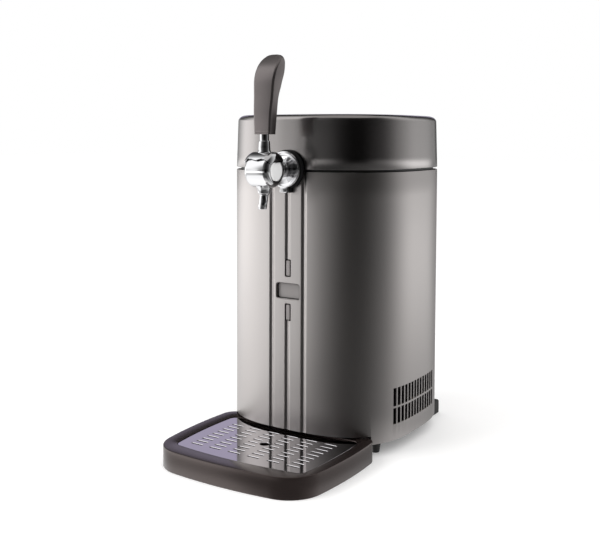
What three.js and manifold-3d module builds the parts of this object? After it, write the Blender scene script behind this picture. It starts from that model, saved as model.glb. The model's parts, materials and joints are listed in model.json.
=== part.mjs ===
// Mini keg beer dispenser: a cooled tub for a 5 litre keg in a squarish steel body, with a hinged lid,
// a chrome tap with a long lever and a drip tray that slides out from under the front.
// Millimetres, +Z up, the tap looks along -Y. The pieces are drawn about the body's upright axis at
// floor level, and the last lines move them so that the origin is under the middle of the whole.

import * as THREE from "three";
import { mergeVertices } from "three/addons/utils/BufferGeometryUtils.js";
import Module from "manifold-3d";

const wasm = await Module();
wasm.setup();

// Fits and running gaps
const seat = 0.3;
const slack = 0.5;
const overrun = 2;

// Smoothness
const bodySteps = 56;
const roundSteps = 24;
const smallSteps = 12;
const filletSteps = 4;
const drumSteps = 3;

// Body shell
const squarenessShare = 2.9;
const footHeight = 17.5;
const shellWall = 1.6;
const grooveSpacing = 25;
const grooveWidth = 8.8;
const grooveDepth = 2.6;
const grooveFloorShare = 0.4;

// Windows in the front of the shell
const windowWidth = 36;
const windowHeight = 20;
const windowCorner = 3;
const windowDepth = 8;
const windowLevel = 214;
const lensSlotWidth = 9;
const lensSlotHeight = 23;
const lensSlotDepth = 4;
const lensSlotRise = 30.8;
const lensSlotDrop = 28;
const lensShadowGap = 1.3;
const displayMargin = 4;
const displayFloor = 2;

// Side vents
const ventCount = 14;
const ventPitch = 8.55;
const ventWidth = 5;
const ventCentre = -7;
const ventLevel = 38.8;
const ventLowHeight = 21.4;
const ventBar = 2.5;
const ventHighHeight = 24.3;

// Base pan, feet and what stands on the pan
const panThickness = 3;
const panRimWall = 2.4;
const panRimHeight = 14;
const intakeSlotCount = 7;
const intakeSlotPitch = 10;
const intakeSlotWidth = 5;
const intakeSlotLength = 70;
const frontFootSideInset = 29;
const frontFootFrontInset = 59.85;
const footTipDiameter = 10.5;
const footTopDiameter = 16;
const rearFootSideInset = 32;
const rearFootWidth = 9;
const rearFootReach = 26;
const rearFootRise = 21;
const rearFootGrip = 20;

// Cooling stack under the tub, from the fan upwards
const fanSize = 92;
const fanThickness = 25;
const fanWall = 3;
const fanHubDiameter = 34;
const fanBladeCount = 7;
const fanBladeThickness = 1.6;
const fanBladeTwist = 38;
const fanTipGap = 1.5;
const fanLegHeight = 8.3;
const fanStandSize = 10;
const fanSpokeWidth = 4;
const fanSpokeThickness = 3;
const motorBossDiameter = 30;
const sinkWidth = 100;
const sinkDepth = 90;
const sinkFinHeight = 22;
const sinkBase = 5;
const sinkFinCount = 11;
const sinkFinThickness = 2;
const peltierSize = 40;
const peltierThickness = 3.8;
const coldBlockSize = 46;
const coldBlockHeight = 14;

// Tub, insulation and the deck round the tub's mouth
const tubRadius = 90;
const tubWall = 1.5;
const tubDepth = 260;
const tubFlange = 7;
const foamInset = 16;
const foamSide = 22.2;
const foamFront = 24.05;
const deckThickness = 2.4;
const deckDrop = 8.5;
const lipInset = 5.5;
const lipWall = 3;
const lipRise = 5.5;
const postSize = 12;
const postSideInset = 50;
const postFrontInset = 51.85;

// Lid
const seamGap = 3.2;
const lidHeight = 72.6;
const lidDraftInset = 1.8;
const lidCrownInset = 17;
const lidCrownHeight = 12.5;
const lidDome = 1.8;
const lidWall = 2;
const lidLinerWall = 1.6;
const lidLinerMargin = 6;
const lidLinerHeight = 54.3;
const gasketHeight = 1.4;

// Hinge behind the seam
const hingeWidth = 60;
const hingeKnuckleShare = 0.34;
const hingeKnuckleDiameter = 8;
const hingePinDiameter = 4;
const hingeOffset = 5.2;
const hingeLeafThickness = 1.8;
const hingeLeafHeight = 20;

// Tap body, from the drum back to the nut
const tapRise = 3;
const drumDiameter = 42;
const drumLength = 32;
const drumRound = 5;
const drumBore = 25;
const endCapDiameter = 26;
const endCapThickness = 2.4;
const neckDiameter = 17.6;
const neckLength = 22.05;
const neckRingDiameter = 21;
const neckRingWidth = 2.2;
const shankDiameter = 15;
const shankBore = 6;
const flangeDiameter = 48;
const flangeThickness = 5.5;
const flangeRim = 3;
const flangeDish = 1.5;
const flangeTabWidth = 11.5;
const flangeTabDrop = 6;
const gasketDiameter = 51;
const gasketThickness = 6;
const gasketTabWidth = 16;
const bracketDepth = 10;
const bracketWidth = 28;
const nutWidth = 19;
const nutThickness = 6;
const barbDiameter = 9;
const barbLength = 10;

// Spout
const collarDiameter = 16.6;
const collarDrop = 7.6;
const spoutDiameter = 11;
const spoutBore = 8.2;
const spoutTipDrop = 48.5;
const spoutLean = 4;

// Lever: cap on the drum, stem and handle
const capThickness = 2.6;
const capSpread = 46;
const capEarDrop = 6;
const capEarWidth = 20;
const rotorDiameter = 24;
const rotorLength = 25;
const leverTravel = 40;
const stemCoreDiameter = 9;
const stemBaseDiameter = 15.7;
const stemWaistDiameter = 14;
const stemNeckDiameter = 11.7;
const stemStepRise = 37.4;
const handleRise = 47.2;
const handleHeight = 100;
const handleWidth = 28.4;
const handleReach = 31.6;
const handleLead = 6.1;
const handleCornerShare = 0.3;

// Beer line and the coupler parked on the deck
const lineDiameter = 7;
const lineBore = 4;
const lineSteps = 18;
const lineRouteShares = [
  [0.16, 0.8],
  [0.36, 0.86],
];
const couplerDiameter = 24;
const couplerHeight = 12;
const couplerPlaceShare = 0.448;
const couplerPostDiameter = 8;
const couplerPostHeight = 6;
const couplerPort = 8;

// Drip tray and its plate
const trayHeight = 27.1;
const trayOverhang = 150.85;
const traySideInset = 10.7;
const trayTuck = 34.85;
const trayFrontArc = 638;
const traySideArc = 602;
const trayBellyOverhang = 29.75;
const trayFrontCorner = 46.7;
const trayRearCorner = 20;
const trayRimSide = 17.5;
const trayRimFront = 27.5;
const trayRimSlope = 2.1;
const trayLedge = 5;
const trayShelf = 30;
const trayFloor = 2.5;
const trayRoofGap = 1.3;
const plateThickness = 1.5;
const plateSunk = 2.9;
const plateCorner = 10;
const slotColumns = 6;
const slotRows = 9;
const slotPitchX = 29.2;
const slotPitchY = 11.05;
const slotLength = 18;
const slotWidth = 3;
const slotFirstOverhang = 11.45;
const drainOverhang = 53.15;
const drainDiameter = 12.5;

// Rear panel with its inlet and switch, and the electronics
const panelWidth = 100;
const panelHeight = 84;
const panelLevel = 34;
const panelMargin = 7;
const panelThickness = 3;
const exhaustCount = 9;
const exhaustPitch = 8;
const exhaustWidth = 4;
const exhaustHeight = 26;
const inletWidth = 27;
const inletHeight = 20;
const inletPlace = -24;
const inletDepth = 16;
const inletSocketDepth = 12;
const switchWidth = 21;
const switchHeight = 15;
const switchPlace = 24;
const fittingLevel = 20;
const fittingRim = 2;
const rockerTravel = 9;
const supplyWidth = 96;
const leadRoom = 23.8;
const supplyHeight = 28;
const boardWidth = 90;
const boardHeight = 60;
const boardThickness = 1.6;
const boardLevel = 150;
const chipHeight = 6;
const leadDiameter = 5;
const leadSag = 6;
const leadSteps = 10;
const pumpLeadDiameter = 3;
const pumpLeadPlace = 12;

// Levels that follow from the sizes above, from the floor up through the cooling stack to the lid
const panTop = footHeight + panThickness;
const fanBottom = panTop + fanLegHeight;
const fanTop = fanBottom + fanThickness;
const sinkBottom = fanTop + seat;
const sinkTop = sinkBottom + sinkFinHeight + sinkBase;
const peltierBottom = sinkTop + seat;
const coldBlockBottom = peltierBottom + peltierThickness + seat;
const coldBlockTop = coldBlockBottom + coldBlockHeight;
const tubFloor = coldBlockTop + seat + tubWall;
const tubFlangeTop = tubFloor + tubDepth;
const deckBottom = tubFlangeTop + seat;
const deckTop = deckBottom + deckThickness;
const bodyTop = deckTop + deckDrop;
const bodyHeight = bodyTop - footHeight;
const lipTop = bodyTop + lipRise;
const foamBottom = coldBlockBottom;
const foamTop = tubFlangeTop - tubWall - seat;
const lidBottom = bodyTop + seamGap;
const lidTop = lidBottom + lidHeight;
const lidLinerTop = lidBottom + lidLinerHeight;
const tapLevel = bodyTop + tapRise;
const trayRoof = trayHeight + trayRoofGap;
const plateTop = trayHeight - plateSunk;
const plateBottom = plateTop - plateThickness;

// Reaches from the body's axis
const tubOuter = tubRadius + tubWall;
const halfWidth = tubOuter + seat + foamSide + foamInset;
const halfDepth = tubOuter + seat + foamFront + foamInset;
const bodyWidth = 2 * halfWidth;
const bodyDepth = 2 * halfDepth;
const lidLinerRadius = tubRadius + lidLinerMargin;
const drumRadius = drumDiameter / 2;
const flangeBack = halfDepth + seat + gasketThickness + seat;
const flangeFront = flangeBack + flangeThickness;
const drumReach = flangeFront + neckLength + drumRadius;
const trayReach = halfDepth + trayOverhang;
const trayBack = halfDepth - trayTuck;
const trayWidth = bodyWidth - 2 * traySideInset;
const hingeReach = halfDepth + hingeOffset;
const rearReach = hingeReach + hingeKnuckleDiameter / 2;

// Finishes
function finish(color, roughness, metalness) {
  return new THREE.MeshStandardMaterial({ color, roughness, metalness });
}
const gunmetal = finish(0x8f8788, 0.35, 0.85);
const lidMetal = finish(0x5a5352, 0.4, 0.7);
const chrome = finish(0xe6e6ea, 0.08, 1);
const blackPlastic = finish(0x1d1b1c, 0.5, 0);
const greyPlastic = finish(0x5b5454, 0.45, 0);
const lensGrey = finish(0x8c8583, 0.4, 0);
const handlePlastic = finish(0x6b6261, 0.4, 0);
const rubber = finish(0x151515, 0.9, 0);
const foam = finish(0xe8dfb8, 0.95, 0);
const aluminium = finish(0xb9bcc0, 0.4, 0.9);
const whitePlastic = finish(0xe2e4e6, 0.45, 0);
const platePolish = finish(0xb7b0b4, 0.12, 1);
const boardGreen = finish(0x1f5a35, 0.6, 0);
const ceramic = finish(0xf2f2ee, 0.7, 0);
const clearTube = finish(0xd7dde0, 0.3, 0);

// Outlines in plan, all run the same way round

function squircle(inset) {
  const points = [];
  for (let i = 0; i < bodySteps; i++) {
    const angle = (2 * Math.PI * i) / bodySteps;
    const a = halfWidth - inset;
    const b = halfDepth - inset;
    const across = Math.abs(Math.cos(angle) / a) ** squarenessShare;
    const along = Math.abs(Math.sin(angle) / b) ** squarenessShare;
    const radius = (across + along) ** (-1 / squarenessShare);
    points.push(new THREE.Vector2(radius * Math.cos(angle), radius * Math.sin(angle)));
  }
  return points;
}

// How far the body's face stands out along Y, or X, at a place along the other axis
function faceReach(place, halfAcross, halfAlong) {
  const share = 1 - Math.abs(place / halfAcross) ** squarenessShare;
  return halfAlong * share ** (1 / squarenessShare);
}

function bodyFaceY(x, inset = 0) {
  return faceReach(x, halfWidth - inset, halfDepth - inset);
}

function circle(radius, steps = roundSteps, x = 0, y = 0) {
  const points = [];
  for (let i = 0; i < steps; i++) {
    const angle = (2 * Math.PI * i) / steps;
    points.push(new THREE.Vector2(x + radius * Math.cos(angle), y + radius * Math.sin(angle)));
  }
  return points;
}

function rectangle(width, depth, x = 0, y = 0) {
  const [a, b] = [width / 2, depth / 2];
  return [[-a, -b], [a, -b], [a, b], [-a, b]].map(([u, v]) => new THREE.Vector2(x + u, y + v));
}

function roundedRectangle(width, depth, corner, steps = filletSteps) {
  const points = [];
  const turns = [[1, -1, -0.5], [1, 1, 0], [-1, 1, 0.5], [-1, -1, 1]];
  for (const [sideX, sideY, start] of turns) {
    for (let i = 0; i <= steps; i++) {
      const angle = Math.PI * (start + i / steps / 2);
      const x = sideX * (width / 2 - corner) + corner * Math.cos(angle);
      const y = sideY * (depth / 2 - corner) + corner * Math.sin(angle);
      points.push(new THREE.Vector2(x, y));
    }
  }
  return points;
}

// Solids

function closed(geometry) {
  const bare = geometry.clone();
  bare.deleteAttribute("normal");
  bare.deleteAttribute("uv");
  const merged = mergeVertices(bare);
  const place = merged.getAttribute("position");
  const index = merged.getIndex().array;
  const corners = [0, 1, 2].map(() => new THREE.Vector3());
  const kept = [];
  let volume = 0;
  for (let i = 0; i < index.length; i += 3) {
    const [a, b, c] = index.slice(i, i + 3);
    if (a === b || b === c || c === a) continue;
    [a, b, c].forEach((vertex, k) => corners[k].fromBufferAttribute(place, vertex));
    volume += corners[0].dot(corners[1].clone().cross(corners[2]));
    kept.push([a, b, c]);
  }
  const outward = volume < 0 ? kept.map(([a, b, c]) => [a, c, b]) : kept;
  merged.setIndex(outward.flat());
  return merged;
}

function solid(geometry) {
  const bare = closed(geometry);
  const vertProperties = new Float32Array(bare.getAttribute("position").array);
  const triVerts = new Uint32Array(bare.getIndex().array);
  return new wasm.Manifold(new wasm.Mesh({ numProp: 3, vertProperties, triVerts }));
}

function toGeometry(body) {
  const result = body.getMesh();
  const geometry = new THREE.BufferGeometry();
  geometry.setAttribute("position", new THREE.BufferAttribute(result.vertProperties, 3));
  geometry.setIndex(new THREE.BufferAttribute(result.triVerts, 1));
  return geometry;
}

function join(first, ...others) {
  return toGeometry(others.reduce((whole, other) => whole.add(solid(other)), solid(first)));
}

function cut(first, ...tools) {
  return toGeometry(tools.reduce((rest, tool) => rest.subtract(solid(tool)), solid(first)));
}

function common(first, second) {
  return toGeometry(solid(first).intersect(solid(second)));
}

// An upright prism from level low to level high
function prism(outline, low, high, holes = []) {
  const shape = new THREE.Shape(outline);
  shape.holes = holes.map((hole) => new THREE.Path(hole));
  const geometry = new THREE.ExtrudeGeometry(shape, { depth: high - low, bevelEnabled: false });
  return geometry.translate(0, 0, low);
}

// A prism along X from a YZ outline, and one along -Y from an XZ outline
function prismX(outline, from, to) {
  return prism(outline, from, to).rotateX(Math.PI / 2).rotateZ(Math.PI / 2);
}

function prismY(outline, from, to, holes = []) {
  return prism(outline, from, to, holes).rotateX(Math.PI / 2);
}

function block(width, depth, height, x, y, low) {
  return new THREE.BoxGeometry(width, depth, height).translate(x, y, low + height / 2);
}

// A turned solid about Z from [radius, level] pairs
function turned(profile, steps = roundSteps) {
  const points = profile.map(([radius, level]) => new THREE.Vector2(radius, level));
  return new THREE.LatheGeometry(points, steps).rotateX(Math.PI / 2);
}

function rod(diameter, low, high, steps = roundSteps) {
  return turned([[0, low], [diameter / 2, low], [diameter / 2, high], [0, high]], steps);
}

// Turned solids laid along -Y, through the tap's axis, and along X, through the drum's centre
function alongTap(geometry) {
  return geometry.rotateX(Math.PI / 2).translate(0, 0, tapLevel);
}

function alongDrum(geometry) {
  return geometry.rotateY(Math.PI / 2).translate(0, -drumReach, tapLevel);
}

// A closed skin over rings of equal count, each ring a list of Vector3 round the same way
function loft(rings) {
  const count = rings[0].length;
  const places = rings.flat();
  const index = [];
  for (let r = 0; r + 1 < rings.length; r++) {
    for (let i = 0; i < count; i++) {
      const next = (i + 1) % count;
      const [a, b] = [r * count + i, r * count + next];
      const [c, d] = [a + count, b + count];
      index.push(a, b, d, a, d, c);
    }
  }
  const lastRing = (rings.length - 1) * count;
  const flat = (ring) => ring.map((point) => new THREE.Vector2(point.x, point.y));
  for (const [a, b, c] of THREE.ShapeUtils.triangulateShape(flat(rings[0]), [])) index.push(a, c, b);
  for (const [a, b, c] of THREE.ShapeUtils.triangulateShape(flat(rings.at(-1)), [])) {
    index.push(lastRing + a, lastRing + b, lastRing + c);
  }
  const geometry = new THREE.BufferGeometry().setFromPoints(places);
  geometry.setIndex(index);
  return geometry;
}

function ringAt(outline, level) {
  return outline.map((point) => new THREE.Vector3(point.x, point.y, level));
}

const dispenser = new THREE.Group();

function add(parent, name, geometry, material) {
  const mesh = new THREE.Mesh(closed(geometry), material);
  mesh.name = name;
  parent.add(mesh);
  return mesh;
}

// The drip tray's outline: front and side arcs with tangent corner arcs and a straight back

function trayOutline(insetFront, insetSide, backReach, frontCorner, rearCorner) {
  const front = trayFrontArc - insetFront;
  const side = traySideArc - insetSide;
  const frontCentre = trayFrontArc - trayReach;
  const sideCentreX = trayWidth / 2 - traySideArc;
  const sideCentreY = -(halfDepth + trayBellyOverhang);
  const [fromFront, fromSide] = [front - frontCorner, side - frontCorner];
  const [gapX, gapY] = [sideCentreX, sideCentreY - frontCentre];
  const gap = Math.hypot(gapX, gapY);
  const along = (fromFront ** 2 - fromSide ** 2 + gap ** 2) / (2 * gap);
  const aside = Math.sqrt(fromFront ** 2 - along ** 2);
  const cornerX = (along * gapX - aside * gapY) / gap;
  const cornerY = frontCentre + (along * gapY + aside * gapX) / gap;
  const rearY = -backReach - rearCorner;
  const rearX = sideCentreX + Math.sqrt((side - rearCorner) ** 2 - (rearY - sideCentreY) ** 2);
  const right = [];
  const arc = (x, y, radius, start, end, steps) => {
    for (let i = 0; i <= steps; i++) {
      const angle = start + ((end - start) * i) / steps;
      right.push(new THREE.Vector2(x + radius * Math.cos(angle), y + radius * Math.sin(angle)));
    }
  };
  const frontTurn = Math.atan2(cornerY - frontCentre, cornerX);
  const sideTurn = Math.atan2(cornerY - sideCentreY, cornerX - sideCentreX);
  const rearTurn = Math.atan2(rearY - sideCentreY, rearX - sideCentreX);
  arc(0, frontCentre, front, -Math.PI / 2, frontTurn, filletSteps);
  right.pop();
  arc(cornerX, cornerY, frontCorner, frontTurn, sideTurn, filletSteps);
  right.pop();
  arc(sideCentreX, sideCentreY, side, sideTurn, rearTurn, filletSteps);
  right.pop();
  arc(rearX, rearY, rearCorner, rearTurn, Math.PI / 2, filletSteps);
  const left = right.slice(1).reverse().map((point) => new THREE.Vector2(-point.x, point.y));
  return [...right, ...left];
}

// Body shell: a pressed squarish tube with three grooves, windows, vents and a notch over the tray

function groove(centre, grow, low, high) {
  const outer = grooveWidth / 2 + grow;
  const inner = outer * grooveFloorShare;
  const face = -bodyFaceY(Math.abs(centre) + outer);
  const floor = -bodyFaceY(centre) + grooveDepth + grow;
  const outline = [
    [centre - outer, face - overrun],
    [centre + outer, face - overrun],
    [centre + outer, face],
    [centre + inner, floor],
    [centre - inner, floor],
    [centre - outer, face],
  ].map(([x, y]) => new THREE.Vector2(x, y));
  return prism(outline, low, high);
}

function fullGrooves(grow, low, high) {
  return [-grooveSpacing, 0, grooveSpacing].map((x) => groove(x, grow, low, high));
}

const upperSlotTop = windowLevel + lensSlotRise + lensSlotHeight / 2;
const lowerSlotBottom = windowLevel - lensSlotDrop - lensSlotHeight / 2;
const grooveRuns = [
  [-grooveSpacing, footHeight, bodyTop],
  [grooveSpacing, footHeight, bodyTop],
  [0, footHeight, lowerSlotBottom],
  [0, upperSlotTop, bodyTop],
];

// A recess sunk into the front to a depth behind the body's foremost face
function well(width, height, corner, level, depth) {
  const outline = roundedRectangle(width, height, corner);
  return prismY(outline, halfDepth - depth, halfDepth + overrun).translate(0, 0, level);
}

function frontWells(windowFloor, lensFloor) {
  return [
    well(windowWidth, windowHeight, windowCorner, windowLevel, windowFloor),
    well(lensSlotWidth, lensSlotHeight, windowCorner / 2, windowLevel + lensSlotRise, lensFloor),
    well(lensSlotWidth, lensSlotHeight, windowCorner / 2, windowLevel - lensSlotDrop, lensFloor),
  ];
}

function ventCutters() {
  const cutters = [];
  const highLevel = ventLevel + ventLowHeight + ventBar;
  for (let i = 0; i < ventCount; i++) {
    const y = ventCentre + (i - (ventCount - 1) / 2) * ventPitch;
    for (const [level, height] of [[ventLevel, ventLowHeight], [highLevel, ventHighHeight]]) {
      cutters.push(block(bodyWidth + 2 * overrun, ventWidth, height, 0, y, level));
    }
  }
  return cutters;
}

// The tap's shank crosses the seam, so what it passes is notched below it and above it
const shankClear = shankDiameter / 2 + slack;

function shankNotch(toward) {
  const bore = alongTap(rod(2 * shankClear, 0, halfDepth + overrun));
  const height = toward > 0 ? lidHeight : bodyHeight / 2;
  const low = toward > 0 ? tapLevel : tapLevel - height;
  const slot = block(2 * shankClear, halfDepth + overrun, height, 0, -(halfDepth + overrun) / 2, low);
  return [bore, slot];
}

const [shankBoreTool, slotAboveShank] = shankNotch(1);
const [, slotBelowShank] = shankNotch(-1);

const bodyOuter = cut(
  prism(squircle(0), footHeight, bodyTop),
  ...grooveRuns.map(([x, low, high]) => groove(x, 0, low - overrun, high + overrun)),
);
const bodyInner = cut(
  prism(squircle(shellWall), footHeight - overrun, bodyTop + overrun),
  ...grooveRuns.map(([x, low, high]) => {
    const lowEnd = low === footHeight ? low - 2 * overrun : low - shellWall;
    const highEnd = high === bodyTop ? high + 2 * overrun : high + shellWall;
    return groove(x, shellWall, lowEnd, highEnd);
  }),
);
const trayNotchOutline = trayOutline(-trayRoofGap, -trayRoofGap, trayBack - trayRoofGap, trayFrontCorner,
  trayRearCorner);
const trayNotch = prism(trayNotchOutline, 0, trayRoof);
const panelOpening = block(panelWidth, bodyDepth, panelHeight, 0, bodyDepth / 2, panelLevel);

const throughCut = windowDepth + overrun;
add(dispenser, "body_shell", cut(bodyOuter, bodyInner, ...frontWells(throughCut, throughCut),
  ...ventCutters(), trayNotch, panelOpening, shankBoreTool), gunmetal);

// Display frame: a moulding behind the front with three wells, its badge plate and two lenses

const shellFace = bodyFaceY(windowWidth / 2, shellWall) - seat;
const displayFront = Math.min(shellFace, halfDepth - shellWall - grooveDepth - seat);
const displayBack = halfDepth - windowDepth - displayFloor;
const displayTop = windowLevel + lensSlotRise + lensSlotHeight / 2 + displayMargin;
const displayBottom = windowLevel - lensSlotDrop - lensSlotHeight / 2 - displayMargin;
const displayWidth = 2 * (grooveSpacing - grooveWidth / 2 - shellWall - seat);

const displayBody = block(displayWidth, displayFront - displayBack, displayTop - displayBottom, 0,
  -(displayFront + displayBack) / 2, displayBottom);
const centreRidges = grooveRuns.slice(2).map(([x, low, high]) => {
  const lowEnd = low === footHeight ? low - overrun : low - shellWall - seat;
  const highEnd = high === bodyTop ? high + overrun : high + shellWall + seat;
  return groove(x, shellWall + seat, lowEnd, highEnd);
});
add(dispenser, "display_frame", cut(displayBody, ...centreRidges, ...frontWells(windowDepth, lensSlotDepth)),
  greyPlastic);

const badge = prismY(roundedRectangle(windowWidth - 2 * seat, windowHeight - 2 * seat, windowCorner - seat),
  halfDepth - windowDepth + seat, halfDepth - windowDepth + seat + displayFloor);
add(dispenser, "badge_plate", badge.translate(0, 0, windowLevel), lensGrey);

function lens(level) {
  const width = lensSlotWidth - 2 * lensShadowGap;
  const height = lensSlotHeight - 2 * lensShadowGap;
  const bar = prismY(roundedRectangle(width, height, lensShadowGap / 2),
    halfDepth - lensSlotDepth + seat, halfDepth - seat);
  return bar.translate(0, 0, level);
}

add(dispenser, "upper_lens", lens(windowLevel + lensSlotRise), lensGrey);
add(dispenser, "lower_lens", lens(windowLevel - lensSlotDrop), lensGrey);

const lightBoard = block(displayWidth - displayMargin, boardThickness, displayTop - displayBottom, 0,
  -(displayBack - seat - boardThickness / 2), displayBottom);
add(dispenser, "light_board", lightBoard, boardGreen);

// Base pan with its rim, posts for the insulation and slots under the fan

function panPosts() {
  const posts = [];
  const [placeX, placeY] = [halfWidth - postSideInset, halfDepth - postFrontInset];
  for (const x of [-placeX, placeX]) {
    for (const y of [-placeY, placeY]) {
      posts.push(block(postSize, postSize, foamBottom - seat - panTop + overrun, x, y, panTop - overrun));
    }
  }
  return posts;
}

function fanStands() {
  const stands = [];
  const place = fanSize / 2 - fanStandSize / 2;
  for (const x of [-place, place]) {
    for (const y of [-place, place]) {
      stands.push(block(fanStandSize, fanStandSize, fanLegHeight - seat + overrun, x, y, panTop - overrun));
    }
  }
  return stands;
}

function intakeSlots() {
  const slots = [];
  for (let i = 0; i < intakeSlotCount; i++) {
    const x = (i - (intakeSlotCount - 1) / 2) * intakeSlotPitch;
    slots.push(block(intakeSlotWidth, intakeSlotLength, panThickness + 2 * overrun, x, 0,
      footHeight - overrun));
  }
  return slots;
}

const shellFit = shellWall + seat;
const panFloorPlate = prism(squircle(shellFit), footHeight, panTop);
const panRim = prism(squircle(shellFit), panTop - overrun / 2, panTop + panRimHeight,
  [squircle(shellFit + panRimWall)]);
// The tray's back butts against the pan's front edge
const trayBay = prism(trayOutline(0, 0, trayBack - seat, trayFrontCorner, trayRearCorner), 0, foamBottom);
add(dispenser, "base_pan", cut(join(panFloorPlate, panRim, ...panPosts(), ...fanStands()), trayBay,
  ...intakeSlots(), ...fullGrooves(shellFit, 0, foamBottom)), blackPlastic);

// Feet: two tapered ones at the front, and two at the rear that reach out behind as wall stops

function taperedFoot() {
  return turned([
    [0, 0],
    [footTipDiameter / 2, 0],
    [footTopDiameter / 2, footHeight - seat],
    [0, footHeight - seat],
  ], smallSteps);
}

const rearFootX = halfWidth - rearFootSideInset;

function rearFoot(side) {
  const face = bodyFaceY(rearFootX + rearFootWidth / 2) + seat;
  const tip = bodyFaceY(rearFootX) + rearFootReach;
  const round = rearFootWidth / 2;
  const outline = [[face - rearFootGrip, 0], [tip, 0]];
  for (let i = 0; i <= filletSteps; i++) {
    const angle = (Math.PI * i) / 2 / filletSteps;
    outline.push([tip - round + round * Math.cos(angle), rearFootRise - round + round * Math.sin(angle)]);
  }
  const step = bodyFaceY(rearFootX - rearFootWidth / 2) + seat;
  outline.push([step, rearFootRise], [step, footHeight - seat], [face - rearFootGrip, footHeight - seat]);
  const points = outline.map(([y, z]) => new THREE.Vector2(y, z));
  return prismX(points, -rearFootWidth / 2, rearFootWidth / 2).translate(side * rearFootX, 0, 0);
}

for (const [word, side] of [["left", -1], ["right", 1]]) {
  const foot = taperedFoot().translate(side * (halfWidth - frontFootSideInset),
    -(halfDepth - frontFootFrontInset), 0);
  add(dispenser, `front_foot_${word}`, foot, rubber);
  add(dispenser, `rear_foot_${word}`, rearFoot(side), rubber);
}

// Fan: a square frame with a motor boss on spokes, and a bladed rotor

const fanBore = fanSize - 2 * fanWall;

function fanFrame() {
  const square = prism(rectangle(fanSize, fanSize), fanBottom, fanTop, [circle(fanBore / 2)]);
  const boss = rod(motorBossDiameter, fanBottom, fanBottom + fanSpokeThickness, smallSteps);
  const reach = fanBore / 2 + fanWall / 2;
  const spokes = [0, Math.PI / 2].map((turn) => {
    const spoke = block(2 * reach, fanSpokeWidth, fanSpokeThickness, 0, 0, fanBottom);
    return spoke.rotateZ(turn + Math.PI / 4);
  });
  return join(square, boss, ...spokes);
}

function fanRotor() {
  const low = fanBottom + fanSpokeThickness + seat;
  const high = fanTop - fanWall;
  const hub = rod(fanHubDiameter, low, high, smallSteps);
  const tip = fanBore / 2 - fanTipGap;
  const rise = high - low - 2 * fanBladeThickness;
  const twist = THREE.MathUtils.degToRad(fanBladeTwist);
  const blades = [];
  for (let i = 0; i < fanBladeCount; i++) {
    const root = fanHubDiameter / 2 - overrun / 2;
    const blade = new THREE.BoxGeometry(tip - root, fanBladeThickness, rise / Math.cos(twist) / 2);
    blade.rotateX(twist).translate((tip + root) / 2, 0, (low + high) / 2);
    blades.push(blade.rotateZ((2 * Math.PI * i) / fanBladeCount));
  }
  return join(hub, ...blades);
}

add(dispenser, "fan_frame", fanFrame(), blackPlastic);
add(dispenser, "fan_rotor", fanRotor(), greyPlastic);

// Heat sink, heat pump and cold block

function heatSink() {
  const plate = block(sinkWidth, sinkDepth, sinkBase, 0, 0, sinkTop - sinkBase);
  const pitch = (sinkWidth - sinkFinThickness) / (sinkFinCount - 1);
  const fins = [];
  for (let i = 0; i < sinkFinCount; i++) {
    const x = -sinkWidth / 2 + sinkFinThickness / 2 + i * pitch;
    fins.push(block(sinkFinThickness, sinkDepth, sinkFinHeight + sinkBase / 2, x, 0, sinkBottom));
  }
  return join(plate, ...fins);
}

add(dispenser, "heat_sink", heatSink(), aluminium);
add(dispenser, "heat_pump", block(peltierSize, peltierSize, peltierThickness, 0, 0, peltierBottom), ceramic);
const coldBlock = block(coldBlockSize, coldBlockSize, coldBlockHeight, 0, 0, coldBlockBottom);
add(dispenser, "cold_block", coldBlock, aluminium);

// Tub, insulation and deck

const tubProfile = [
  [0, tubFloor - tubWall],
  [tubOuter, tubFloor - tubWall],
  [tubOuter, tubFlangeTop - tubWall],
  [tubOuter + tubFlange, tubFlangeTop - tubWall],
  [tubOuter + tubFlange, tubFlangeTop],
  [tubRadius, tubFlangeTop],
  [tubRadius, tubFloor],
  [0, tubFloor],
];
add(dispenser, "keg_tub", turned(tubProfile, 2 * roundSteps), aluminium);

const foamBore = turned([
  [0, tubFloor - tubWall - seat],
  [tubOuter + seat, tubFloor - tubWall - seat],
  [tubOuter + seat, foamTop + overrun],
  [0, foamTop + overrun],
], 2 * roundSteps);
const coldBlockSocket = block(coldBlockSize + 2 * seat, coldBlockSize + 2 * seat,
  coldBlockHeight + 2 * overrun, 0, 0, coldBlockBottom - overrun);
add(dispenser, "tub_insulation", cut(prism(squircle(foamInset), foamBottom, foamTop), foamBore,
  coldBlockSocket), foam);

const deckPlate = prism(squircle(shellFit), deckBottom, deckTop, [circle(tubRadius, 2 * roundSteps)]);
const lip = prism(squircle(lipInset), deckBottom, lipTop, [squircle(lipInset + lipWall)]);
// The coupler's post stands in the deck's corner, between the tub's mouth and the lip
const diagonal = Math.SQRT1_2;
const lipCorner = ((diagonal / (halfWidth - lipInset - lipWall)) ** squarenessShare
  + (diagonal / (halfDepth - lipInset - lipWall)) ** squarenessShare) ** (-1 / squarenessShare);
const couplerReach = tubRadius + (lipCorner - tubRadius) * couplerPlaceShare;
const couplerX = -couplerReach * diagonal;
const couplerY = -couplerReach * diagonal;
const couplerPost = rod(couplerPostDiameter, deckTop - overrun / 2, deckTop + couplerPostHeight, smallSteps)
  .translate(couplerX, couplerY, 0);
const bracketFront = halfDepth - lipInset - lipWall - seat;
const nutRecess = block(nutWidth + 2 * overrun, nutThickness + 2 * overrun, nutWidth, 0,
  -(bracketFront - bracketDepth - nutThickness / 2), tapLevel - nutWidth / 2 - overrun);
add(dispenser, "top_deck", cut(join(deckPlate, lip, couplerPost), shankBoreTool, slotAboveShank, nutRecess,
  ...fullGrooves(shellFit, 0, deckTop + overrun)), blackPlastic);

// Lid: shell, insulation, liner and gasket

function lidRing(inset, level) {
  return ringAt(squircle(inset), level);
}

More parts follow.
